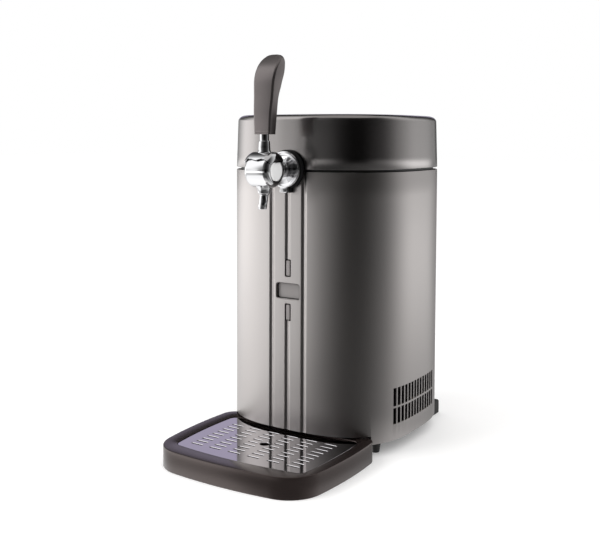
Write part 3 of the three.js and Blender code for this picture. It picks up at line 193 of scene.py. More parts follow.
class Effects:
    """The node groups that several finishes share."""

    broad_scale: float = 0.09
    broad_share: float = 0.4
    patch: Pairs = ((0.42, 0.0), (0.72, 1.0))
    ridge: Pairs = ((0.52, 0.0), (0.62, 1.0))

    def __init__(self) -> None:
        """Build each group once."""
        self.grain = self.build_grain()
        self.smudges = self.build_smudges()
        self.edge_rub = self.build_edge_rub()

    def build_grain(self) -> bpy.types.NodeTree:
        """Make fine grain: a height for a bump, and a roughness that varies with it.

        Returns:
            The group.
        """
        graph, given, result = group_tree(
            "fine_grain",
            {"Vector": (0.0, 0.0, 0.0), "Scale": 900.0, "Stretch": (1.0, 1.0, 1.0), "Roughness": 0.4,
             "Spread": 0.05},
            {"Height": "Float", "Roughness": "Float"})
        stretched = graph.node("ShaderNodeVectorMath", {0: given.outputs["Vector"],
                                                        1: given.outputs["Stretch"]}, operation="MULTIPLY")
        fine = graph.node("ShaderNodeTexNoise", {"Vector": stretched.outputs[0],
                                                 "Scale": given.outputs["Scale"], "Detail": 3.0,
                                                 "Roughness": 0.6})
        broad_scale = graph.math("MULTIPLY", given.outputs["Scale"], self.broad_scale)
        broad = graph.node("ShaderNodeTexNoise", {"Vector": stretched.outputs[0], "Scale": broad_scale,
                                                  "Detail": 2.0})
        both = graph.math("ADD", graph.math("MULTIPLY", fine.outputs[0], 1.0 - self.broad_share),
                          graph.math("MULTIPLY", broad.outputs[0], self.broad_share))
        lean = graph.math("MULTIPLY", graph.math("SUBTRACT", both, 0.5), given.outputs["Spread"])
        rough = graph.math("ADD", given.outputs["Roughness"], graph.math("MULTIPLY", lean, 2.0), clamp=True)
        graph.tree.links.new(fine.outputs[0], result.inputs["Height"])
        graph.tree.links.new(rough, result.inputs["Roughness"])
        return graph.tree

    def build_smudges(self) -> bpy.types.NodeTree:
        """Make soft marks from handling and wiping: a colour with faint patches.

        Returns:
            The group.
        """
        graph, given, result = group_tree(
            "handling_marks",
            {"Vector": (0.0, 0.0, 0.0), "Scale": 20.0, "Cover": 0.4, "Colour": (0.5, 0.5, 0.5, 1.0),
             "Mark": (0.4, 0.4, 0.4, 1.0)},
            {"Color": "Color"})
        cloud = graph.node("ShaderNodeTexNoise", {"Vector": given.outputs["Vector"],
                                                  "Scale": given.outputs["Scale"], "Detail": 4.0,
                                                  "Roughness": 0.55, "Distortion": 0.4})
        patch = graph.ramp(cloud.outputs[0], self.patch)
        mask = graph.math("MULTIPLY", patch.outputs[0], given.outputs["Cover"], clamp=True)
        mixed = graph.blend(mask, given.outputs["Colour"], given.outputs["Mark"])
        graph.tree.links.new(mixed, result.inputs["Color"])
        return graph.tree

    def build_edge_rub(self) -> bpy.types.NodeTree:
        """Make the paler line that rubbing leaves along outer edges.

        Returns:
            The group.
        """
        graph, given, result = group_tree(
            "edge_rub",
            {"Colour": (0.5, 0.5, 0.5, 1.0), "Rubbed": (0.7, 0.7, 0.7, 1.0), "Amount": 0.3},
            {"Color": "Color"})
        shape = graph.node("ShaderNodeNewGeometry")
        ridge = graph.ramp(shape.outputs["Pointiness"], self.ridge)
        mask = graph.math("MULTIPLY", ridge.outputs[0], given.outputs["Amount"], clamp=True)
        mixed = graph.blend(mask, given.outputs["Colour"], given.outputs["Rubbed"])
        graph.tree.links.new(mixed, result.inputs["Color"])
        return graph.tree


@dataclass(frozen=True)
class Finish:
    """One surface finish, as the values of its shader."""

    name: str
    colour: Colour
    mark: Colour
    metallic: float = 0.0
    roughness: float = 0.5
    spread: float = 0.06
    grain: float = 900.0
    stretch: tuple[float, float, float] = (1.0, 1.0, 1.0)
    bump: float = 0.02
    cover: float = 0.3
    cloud: float = 22.0
    rub: float = 0.0
    coat: float = 0.0
    specular: float = 0.5
    sheen_tint: Colour = (1.0, 1.0, 1.0)
    clear: float = 0.0
    rub_gain: float = 1.6
    rub_lift: float = 0.03
    bump_distance: float = 0.0004
    coat_roughness: float = 0.08

    def make(self, effects: Effects) -> bpy.types.Material:
        """Build the finish's material.

        Args:
            effects: the shared node groups.

        Returns:
            The material, on Object coordinates.
        """
        material = bpy.data.materials.new(self.name)
        material.use_nodes = True
        graph = Graph(material.node_tree)
        place = graph.node("ShaderNodeTexCoord").outputs["Object"]
        grain = graph.node("ShaderNodeGroup", {
            "Vector": place, "Scale": self.grain, "Stretch": self.stretch, "Roughness": self.roughness,
            "Spread": self.spread}, node_tree=effects.grain)
        marks = graph.node("ShaderNodeGroup", {
            "Vector": place, "Scale": self.cloud, "Cover": self.cover, "Colour": rgba(self.colour),
            "Mark": rgba(self.mark)}, node_tree=effects.smudges)
        colour = marks.outputs["Color"]
        if self.rub:
            pale = tuple(min(1.0, value * self.rub_gain + self.rub_lift) for value in self.colour)
            colour = graph.node("ShaderNodeGroup", {"Colour": colour, "Rubbed": rgba(pale),
                                                    "Amount": self.rub},
                                node_tree=effects.edge_rub).outputs["Color"]
        bump = graph.node("ShaderNodeBump", {"Height": grain.outputs["Height"], "Strength": self.bump,
                                             "Distance": self.bump_distance})
        shader = graph.node("ShaderNodeBsdfPrincipled", {
            "Base Color": colour, "Metallic": self.metallic, "Roughness": grain.outputs["Roughness"],
            "Normal": bump.outputs[0], "Coat Weight": self.coat, "Coat Roughness": self.coat_roughness,
            "Specular IOR Level": self.specular, "Specular Tint": rgba(self.sheen_tint),
            "Transmission Weight": self.clear})
        graph.node("ShaderNodeOutputMaterial", {0: shader.outputs[0]})
        return material


class Finishes(Enum):
    """Every finish of the dispenser."""

    BODY_STEEL = Finish("body_steel", (0.46, 0.435, 0.425), (0.43, 0.41, 0.405), metallic=1.0,
                        roughness=0.36, spread=0.03, grain=2600.0, bump=0.006, cover=0.35, cloud=9.0)
    LID_STEEL = Finish("lid_steel", (0.33, 0.313, 0.307), (0.305, 0.29, 0.286), metallic=1.0,
                       roughness=0.21, spread=0.03, grain=2600.0, bump=0.005, cover=0.35, cloud=9.0)
    CHROME = Finish("bright_chrome", (0.66, 0.66, 0.67), (0.62, 0.62, 0.63), metallic=1.0,
                    roughness=0.05, spread=0.02, grain=1500.0, bump=0.002, cover=0.2, cloud=60.0)
    PLATE_STEEL = Finish("polished_steel", (0.66, 0.64, 0.66), (0.61, 0.60, 0.62), metallic=1.0,
                         roughness=0.06, spread=0.02, grain=1200.0, stretch=(1.0, 6.0, 1.0), bump=0.003,
                         cover=0.25, cloud=30.0)
    SPUN_CHROME = Finish("spun_chrome", (0.93, 0.93, 0.93), (0.88, 0.88, 0.88), metallic=0.3,
                         roughness=0.22, spread=0.04, grain=1500.0, bump=0.004, cover=0.2, cloud=60.0)
    HANDLE_PLASTIC = Finish("handle_plastic", (0.170, 0.152, 0.150), (0.155, 0.139, 0.137),
                            metallic=0.92, roughness=0.30, spread=0.04, grain=2200.0, bump=0.008,
                            cover=0.4, rub=0.05)
    TRAY_PLASTIC = Finish("tray_plastic", (0.0145, 0.0105, 0.0098), (0.018, 0.0132, 0.0125),
                          roughness=0.21, spread=0.04, grain=2600.0, bump=0.006, cover=0.4, rub=0.04,
                          specular=0.9, sheen_tint=(1.0, 0.84, 0.80))
    DARK_PLASTIC = Finish("black_plastic", (0.008, 0.0075, 0.008), (0.013, 0.012, 0.013),
                          roughness=0.42, spread=0.08, grain=2200.0, bump=0.05, cover=0.4, rub=0.05)
    # Black rubber for the tap's gasket, also used as painted shade on the saddle's inner faces.
    SEAL_AND_PAINTED_SHADE = Finish("black_seal_and_painted_shade", (0.004, 0.004, 0.0045), (0.006, 0.006, 0.006), roughness=0.55,
                  grain=1500.0, bump=0.05, specular=0.25)
    RUBBER = Finish("black_rubber", (0.012, 0.012, 0.012), (0.03, 0.029, 0.028), roughness=0.62,
                    spread=0.1, grain=1500.0, bump=0.08, cover=0.3)
    GREY_PLASTIC = Finish("grey_plastic", (0.20, 0.195, 0.19), (0.17, 0.165, 0.16), roughness=0.42,
                          grain=2000.0, bump=0.03)
    LENS = Finish("lens_plastic", (0.215, 0.198, 0.194), (0.19, 0.175, 0.171), roughness=0.30,
                  spread=0.04, grain=1500.0, bump=0.01, coat=0.2)
    ALUMINIUM = Finish("bare_aluminium", (0.72, 0.72, 0.73), (0.62, 0.62, 0.63), metallic=1.0,
                       roughness=0.34, spread=0.12, grain=900.0, stretch=(1.0, 1.0, 8.0), bump=0.03,
                       cover=0.4)
    WHITE_PLASTIC = Finish("white_plastic", (0.78, 0.78, 0.76), (0.70, 0.69, 0.66), roughness=0.36,
                           grain=1800.0, bump=0.03)
    FOAM = Finish("insulation_foam", (0.66, 0.60, 0.44), (0.52, 0.46, 0.32), roughness=0.85, spread=0.2,
                  grain=420.0, bump=0.5, cover=0.6)
    TUBE = Finish("clear_tube", (0.80, 0.84, 0.86), (0.70, 0.74, 0.76), roughness=0.14, spread=0.05,
                  grain=700.0, bump=0.01, clear=0.75)
    BOARD = Finish("circuit_board", (0.02, 0.10, 0.045), (0.03, 0.16, 0.07), roughness=0.38,
                   spread=0.1, grain=500.0, bump=0.06, cover=0.7, cloud=160.0)


class Palette:
    """The materials, one for each finish."""

    def __init__(self) -> None:
        """Build every material once."""
        effects = Effects()
        self.materials = {finish: finish.value.make(effects) for finish in Finishes}

    def dress(self, piece: Piece, finish: Finishes) -> None:
        """Give a piece one finish all over.

        Args:
            piece: the piece.
            finish: its finish.
        """
        piece.data.materials.clear()
        piece.data.materials.append(self.materials[finish])
        for face in piece.data.polygons:
            face.material_index = 0

    def place(self, piece: Piece, finish: Finishes, body: str, slot: str, *nodes: str) -> None:
        """Dress a piece and settle it: the piece, its finish, its body, its slot and its nodes."""
        self.dress(piece, finish)
        settle(piece, body, slot, *nodes)


def loft(rings: Sequence[Ring], loop: bool = False, start: bool = False, end: bool = False,
         ) -> tuple[Ring, list[tuple[int, ...]]]:
    """Join closed rings of as many points each.

    Args:
        rings: the rings in order; a ring of one point is a pole.
        loop: whether the last ring joins the first.
        start: whether the first ring is closed by one face.
        end: whether the last ring is closed by one face.

    Returns:
        The points and the faces.
    """
    points: Ring = []
    firsts = []
    for ring in rings:
        firsts.append(len(points))
        points.extend(ring)
    faces: list[tuple[int, ...]] = []
    pairs = list(range(len(rings) - 1)) + ([len(rings) - 1] if loop else [])
    for k in pairs:
        low, high = rings[k], rings[(k + 1) % len(rings)]
        a, b = firsts[k], firsts[(k + 1) % len(rings)]
        count = max(len(low), len(high))
        for i in range(count):
            j = (i + 1) % count
            if len(low) == 1:
                faces.append((a, b + j, b + i))
            elif len(high) == 1:
                faces.append((a + i, a + j, b))
            else:
                faces.append((a + i, a + j, b + j, b + i))
    if start:
        faces.append(tuple(range(firsts[0] + len(rings[0]) - 1, firsts[0] - 1, -1)))
    if end:
        faces.append(tuple(range(firsts[-1], firsts[-1] + len(rings[-1]))))
    return points, faces


def make_object(name: str, points: Iterable[Sequence[float]], faces: Sequence[Sequence[int]],
                sharp: float = 35.0) -> Piece:
    """Make a mesh object at the origin from points about the body's axis, with its faces turned out.

    Args:
        name: the object's name.
        points: the points in millimetres.
        faces: the faces, as numbers of points.
        sharp: the angle in degrees past which an edge stays crisp.

    Returns:
        The new object.
    """
    mesh = bpy.data.meshes.new(name)
    mesh.from_pydata([in_frame(point) for point in points], [], [list(face) for face in faces])
    mesh.validate()
    made = bpy.data.objects.new(name, mesh)
    bpy.context.scene.collection.objects.link(made)
    tidy_mesh(made, sharp)
    return made


def solid(name: str, rings: Sequence[Ring], sharp: float = 35.0) -> Piece:
    """Make an object through rings, with the first and the last of them filled."""
    return make_object(name, *loft(rings, start=True, end=True), sharp)


def tidy_mesh(piece: Piece, sharp: float = 35.0) -> None:
    """Merge doubles, turn the faces out and smooth all but the crisp edges.

    Args:
        piece: the object.
        sharp: the angle in degrees past which an edge stays crisp.
    """
    work = bmesh.new()
    work.from_mesh(piece.data)
    bmesh.ops.remove_doubles(work, verts=work.verts, dist=1e-7)
    bmesh.ops.recalc_face_normals(work, faces=work.faces)
    if work.calc_volume(signed=True) < 0:
        bmesh.ops.reverse_faces(work, faces=work.faces)
    work.to_mesh(piece.data)
    work.free()
    for face in piece.data.polygons:
        face.use_smooth = True
    piece.data.set_sharp_from_angle(angle=math.radians(sharp))


def apply_modifiers(piece: Piece) -> None:
    """Keep what a piece's modifiers make as its plain mesh, and remove them.

    Args:
        piece: the object.
    """
    shaped = bpy.context.evaluated_depsgraph_get()
    mesh = bpy.data.meshes.new_from_object(piece.evaluated_get(shaped))
    piece.modifiers.clear()
    old = piece.data
    piece.data = mesh
    mesh.name = piece.name
    bpy.data.meshes.remove(old)


def combine(piece: Piece, others: Sequence[Piece], operation: str = "DIFFERENCE",
            sharp: float = 35.0) -> None:
    """Cut pieces from a piece, or join them to it, and remove them.

    Args:
        piece: the object that is kept.
        others: the cutters or additions.
        operation: DIFFERENCE or UNION.
        sharp: the angle in degrees past which an edge stays crisp.
    """
    for other in others:
        step = piece.modifiers.new("step", "BOOLEAN")
        step.operation = operation
        step.solver = "EXACT"
        step.object = other
        apply_modifiers(piece)
        bpy.data.objects.remove(other)
    tidy_mesh(piece, sharp)


def gather(piece: Piece, others: Sequence[Piece], sharp: float = 35.0) -> None:
    """Take further closed shells into a piece as they are, and remove their objects.

    Args:
        piece: the object that is kept.
        others: the additions.
        sharp: the angle in degrees past which an edge stays crisp.
    """
    work = bmesh.new()
    work.from_mesh(piece.data)
    for other in others:
        work.from_mesh(other.data)
        bpy.data.objects.remove(other)
    work.to_mesh(piece.data)
    work.free()
    tidy_mesh(piece, sharp)


def turned(name: str, profile: Sequence[Pair], axis: str, centre: Point,
           steps: int = 72, sharp: float = 35.0) -> Piece:
    """Turn a profile about a line.

    Args:
        name: the object's name.
        profile: pairs of place along the line and radius; a radius of 0 is a pole.
        axis: the line's direction, X, Y or Z.
        centre: where the line's zero is, in millimetres.
        steps: how many sides.
        sharp: the angle in degrees past which an edge stays crisp.

    Returns:
        The new object.
    """
    rings = []
    for along, radius in profile:
        ring = []
        for i in range(1 if radius == 0 else steps):
            angle = 2 * math.pi * i / steps
            u, v = radius * math.cos(angle), radius * math.sin(angle)
            offset = {"X": (along, u, v), "Y": (v, along, u), "Z": (u, v, along)}[axis]
            ring.append(tuple(c + o for c, o in zip(centre, offset)))
        rings.append(ring)
    closed = profile[0][1] == 0 and profile[-1][1] == 0
    return make_object(name, *loft(rings, loop=not closed), sharp)


def rounded_corner(centre: Pair, radius: float, start: float, end: float,
                   steps: int = 6) -> list[Pair]:
    """Give the points of an arc of a profile.

    Args:
        centre: the arc's centre.
        radius: its radius.
        start: its first angle in degrees.
        end: its last angle in degrees.
        steps: how many steps it takes.

    Returns:
        The points.
    """
    points = []
    for i in range(steps + 1):
        angle = math.radians(start + (end - start) * i / steps)
        points.append((centre[0] + radius * math.cos(angle), centre[1] + radius * math.sin(angle)))
    return points


def rounded_rectangle(width: float, height: float, corner: float, steps: int = 5) -> list[Pair]:
    """Give the outline of a rectangle with round corners, centred.

    Args:
        width: its size across.
        height: its size up.
        corner: the corners' radius.
        steps: how many steps each corner takes.

    Returns:
        The outline's points.
    """
    points = []
    for quarter, (sx, sy) in enumerate(((1, 1), (-1, 1), (-1, -1), (1, -1))):
        centre = (sx * (width / 2 - corner), sy * (height / 2 - corner))
        points += rounded_corner(centre, corner, 90 * quarter, 90 * quarter + 90, steps)
    return points


def settle(piece: Piece, body: str, slot: str, *nodes: str) -> None:
    """Attach a finished piece to the body that it rides on, hide the nodes that it stands for, and report
    it.

    Args:
        piece: the finished piece.
        body: the body that it moves with.
        slot: not used.
        nodes: the nodes that it stands for.
    """
    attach(piece, body)
    if nodes:
        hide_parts(*nodes)
    log.info("piece %s on %s, %d faces", piece.name, body, len(piece.data.polygons))


class SlotTree:
    """A geometry node tree that makes a grid of round-cornered bars, as cutters or as solids."""

    def __init__(self) -> None:
        """Build the tree with its named inputs."""
        tree = bpy.data.node_groups.new("slot_grid", "GeometryNodeTree")
        graph = Graph(tree)
        self.sockets: dict[str, str] = {}
        for label, kind in (("Columns", "Int"), ("Rows", "Int"), ("Pitch Across", "Float"),
                            ("Pitch Along", "Float"), ("Width", "Float"), ("Height", "Float"),
                            ("Corner", "Float"), ("Depth", "Float"), ("Flare", "Float"),
                            ("Place", "Vector"), ("Turn", "Vector"), ("Finish", "Material")):
            socket = tree.interface.new_socket(label, in_out="INPUT", socket_type=f"NodeSocket{kind}")
            self.sockets[label] = socket.identifier
        tree.interface.new_socket("Geometry", in_out="OUTPUT", socket_type="NodeSocketGeometry")
        given = graph.node("NodeGroupInput")
        outline = graph.node("GeometryNodeCurvePrimitiveQuadrilateral",
                             {"Width": given.outputs["Width"], "Height": given.outputs["Height"]})
        fillet = graph.node("GeometryNodeFilletCurve", {"Curve": outline.outputs[0], "Count": 5,
                                                        "Radius": given.outputs["Corner"]}, mode="POLY")
        end = graph.node("ShaderNodeCombineXYZ", {"Z": given.outputs["Depth"]})
        path = graph.node("GeometryNodeCurvePrimitiveLine", {"End": end.outputs[0]})
        halves = graph.node("GeometryNodeResampleCurve", {"Curve": path.outputs[0], "Count": 3})
        straight = graph.node("GeometryNodeCurveToMesh", {"Curve": self.raise_middle(graph, given, halves),
                                                          "Profile Curve": fillet.outputs[0],
                                                          "Fill Caps": True})
        bar = self.flared(graph, given, straight)
        across = self.reach(graph, given, "Columns", "Pitch Across")
        along = self.reach(graph, given, "Rows", "Pitch Along")
        grid = graph.node("GeometryNodeMeshGrid", {"Size X": across, "Size Y": along,
                                                   "Vertices X": given.outputs["Columns"],
                                                   "Vertices Y": given.outputs["Rows"]})
        spread = graph.node("GeometryNodeInstanceOnPoints", {"Points": grid.outputs[0],
                                                             "Instance": bar.outputs[0]})
        placed = graph.node("GeometryNodeTransform", {"Geometry": spread.outputs[0],
                                                      "Translation": given.outputs["Place"],
                                                      "Rotation": given.outputs["Turn"]})
        bars = graph.node("GeometryNodeRealizeInstances", {0: placed.outputs[0]})
        dressed = graph.node("GeometryNodeSetMaterial", {"Geometry": bars.outputs[0],
                                                         "Material": given.outputs["Finish"]})
        graph.node("NodeGroupOutput", {0: dressed.outputs[0]})
        self.tree = tree

    @staticmethod
    def raise_middle(graph: Graph, given: bpy.types.Node, path: bpy.types.Node) -> Socket:
        """Move a path's middle point up to where the flare starts.

        Args:
            graph: the tree.
            given: the tree's inputs.
            path: a straight path of three points.

        Returns:
            The path's socket.
        """
        index = graph.node("GeometryNodeInputIndex").outputs[0]
        middle = graph.node("FunctionNodeCompare", {2: index, 3: 1}, data_type="INT", operation="EQUAL")
        rise = graph.math("SUBTRACT", graph.math("MULTIPLY", given.outputs["Depth"], 0.5),
                          given.outputs["Flare"])
        lift = graph.node("ShaderNodeCombineXYZ", {"Z": rise})
        return graph.node("GeometryNodeSetPosition", {"Geometry": path.outputs[0],
                                                      "Selection": middle.outputs[0],
                                                      "Offset": lift.outputs[0]}).outputs[0]

    @staticmethod
    def flared(graph: Graph, given: bpy.types.Node, bar: bpy.types.Node) -> bpy.types.Node:
        """Widen a bar's end ring, square to its round-ended outline.

        Args:
            graph: the tree.
            given: the tree's inputs.
            bar: the straight bar.

        Returns:
            The node that gives the flared bar.
        """
        place = graph.node("GeometryNodeInputPosition").outputs[0]
        x, y, z = graph.node("ShaderNodeSeparateXYZ", {0: place}).outputs
        core = graph.math("MULTIPLY", graph.math("SUBTRACT", given.outputs["Width"],
                                                 given.outputs["Height"]), 0.5)
        held = graph.math("MINIMUM", graph.math("MAXIMUM", x, graph.math("MULTIPLY", core, -1.0)), core)
        away = graph.node("ShaderNodeCombineXYZ", {"X": graph.math("SUBTRACT", x, held), "Y": y})
        aim = graph.node("ShaderNodeVectorMath", {0: away.outputs[0]}, operation="NORMALIZE")
        spread = graph.node("ShaderNodeVectorMath", {0: aim.outputs[0], "Scale": given.outputs["Flare"]},
                            operation="SCALE")
        limit = graph.math("SUBTRACT", given.outputs["Depth"],
                           graph.math("MULTIPLY", given.outputs["Flare"], 0.5))
        top = graph.node("FunctionNodeCompare", {0: z, 1: limit}, data_type="FLOAT",
                         operation="GREATER_THAN")
        return graph.node("GeometryNodeSetPosition", {"Geometry": bar.outputs[0],
                                                      "Selection": top.outputs[0],
                                                      "Offset": spread.outputs[0]})

    @staticmethod
    def reach(graph: Graph, given: bpy.types.Node, count: str, pitch: str) -> Socket:
        """Give the distance from the first of a row to the last."""
        gaps = graph.math("SUBTRACT", given.outputs[count], 1.0)
        return graph.math("MULTIPLY", gaps, given.outputs[pitch])

    def make(self, name: str, material: bpy.types.Material, **values: Any) -> Piece:
        """Run the tree and keep its result as a plain mesh.

        Args:
            name: the object's name.
            material: what the bars are made of.
            values: the inputs, named in lower case with underscores, in millimetres and degrees.

        Returns:
            The new object.
        """
        made = bpy.data.objects.new(name, bpy.data.meshes.new(name))
        bpy.context.scene.collection.objects.link(made)
        step = made.modifiers.new("slots", "NODES")
        step.node_group = self.tree
        step[self.sockets["Finish"]] = material
        for key, value in values.items():
            label = key.replace("_", " ").title()
            if label in ("Columns", "Rows"):
                step[self.sockets[label]] = int(value)
            elif label == "Place":
                step[self.sockets[label]] = tuple(in_frame(value))
            elif label == "Turn":
                step[self.sockets[label]] = tuple(math.radians(angle) for angle in value)
            else:
                step[self.sockets[label]] = value * MM
        apply_modifiers(made)
        tidy_mesh(made)
        return made


@dataclass
class Squircle:
    """The dispenser's plan outline, a superellipse about the body's axis."""

    half_width: float = 130.0
    half_depth: float = 131.85
    power: float = 2.9

    def radius(self, angle: float, inset: float = 0.0) -> float:
        """Give the outline's distance from the axis.

        Args:
            angle: the direction, in radians from the front towards the right.
            inset: how far the outline is drawn in.

        Returns:
            The distance in millimetres.
        """
        across = abs(math.sin(angle) / (self.half_width - inset)) ** self.power
        along = abs(math.cos(angle) / (self.half_depth - inset)) ** self.power
        return (across + along) ** (-1 / self.power)

    def point(self, angle: float, level: float, inset: float = 0.0) -> Point:
        """Give a point of the outline.

        Args:
            angle: the direction, in radians from the front towards the right.
            level: the height.
            inset: how far the outline is drawn in.

        Returns:
            The point in millimetres.
        """
        reach = self.radius(angle, inset)
        return (reach * math.sin(angle), -reach * math.cos(angle), level)

    def face(self, x: float) -> float:
        """Give how far the front reaches ahead of the axis at a place across it."""
        share = abs(x / self.half_width) ** self.power
        return self.half_depth * (1 - share) ** (1 / self.power)


@dataclass(frozen=True)
class TrayPlan:
    """The drip tray's plan: an arched front, arched sides and a straight back, with round corners."""

    reach: float = 282.7
    width: float = 238.6
    front_arc: float = 638.0
    side_arc: float = 602.0
    side_centre: float = 161.6
    back: float = 97.0
    front_corner: float = 46.7
    rear_corner: float = 20.0
    steps: int = 10

    def outline(self, front_inset: float, side_inset: float, back_inset: float, front_corner: float,
                rear_corner: float) -> list[Pair]:
        """Give the outline: front and side arcs, tangent corner arcs and the straight back.

        Args:
            front_inset: how far the front arc is drawn in.
            side_inset: how far the side arcs are drawn in.
            back_inset: how far the back is drawn in.
            front_corner: the front corners' radius.
            rear_corner: the rear corners' radius.

        Returns:
            The outline's points, the same number for any insets.
        """
        front, side = self.front_arc - front_inset, self.side_arc - side_inset
        front_y = self.front_arc - self.reach
        side_x, side_y = self.width / 2 - self.side_arc, -self.side_centre
        from_front, from_side = front - front_corner, side - front_corner
        gap_x, gap_y = side_x, side_y - front_y
        gap = math.hypot(gap_x, gap_y)
        along = (from_front ** 2 - from_side ** 2 + gap ** 2) / (2 * gap)
        aside = math.sqrt(from_front ** 2 - along ** 2)
        corner = ((along * gap_x - aside * gap_y) / gap, front_y + (along * gap_y + aside * gap_x) / gap)
        rear_y = -(self.back + back_inset) - rear_corner
        rear_x = side_x + math.sqrt((side - rear_corner) ** 2 - (rear_y - side_y) ** 2)
        front_turn = math.atan2(corner[1] - front_y, corner[0])
        side_turn = math.atan2(corner[1] - side_y, corner[0] - side_x)
        rear_turn = math.atan2(rear_y - side_y, rear_x - side_x)
        right: list[Pair] = []
        for centre, radius, start, end in (((0.0, front_y), front, -math.pi / 2, front_turn),
                                           (corner, front_corner, front_turn, side_turn),
                                           ((side_x, side_y), side, side_turn, rear_turn),
                                           ((rear_x, rear_y), rear_corner, rear_turn, math.pi / 2)):
            arc = rounded_corner(centre, radius, math.degrees(start), math.degrees(end), self.steps)
            right += arc if not right else arc[1:]
        return right + [(-x, y) for x, y in reversed(right[1:])]


@dataclass(frozen=True)
class TapLine:
    """Where the tap lies, and the drum's sizes, which the lever's cap follows."""

    reach: float = 187.0
    level: float = 375.5
    bore: float = 7.8
    drum_radius: float = 21.6
    drum_half: float = 18.4
    drum_round: float = 6.8
    cut_from: float = 140.0
    cut_to: float = 110.0

    def cutter(self, radius: float) -> Piece:
        """Make a cutter for the hole that the shank passes through."""
        profile = [(-self.cut_from, 0), (-self.cut_from, radius), (-self.cut_to, radius), (-self.cut_to, 0)]
        return turned("cutter", profile, "Y", (0, 0, self.level), steps=48)


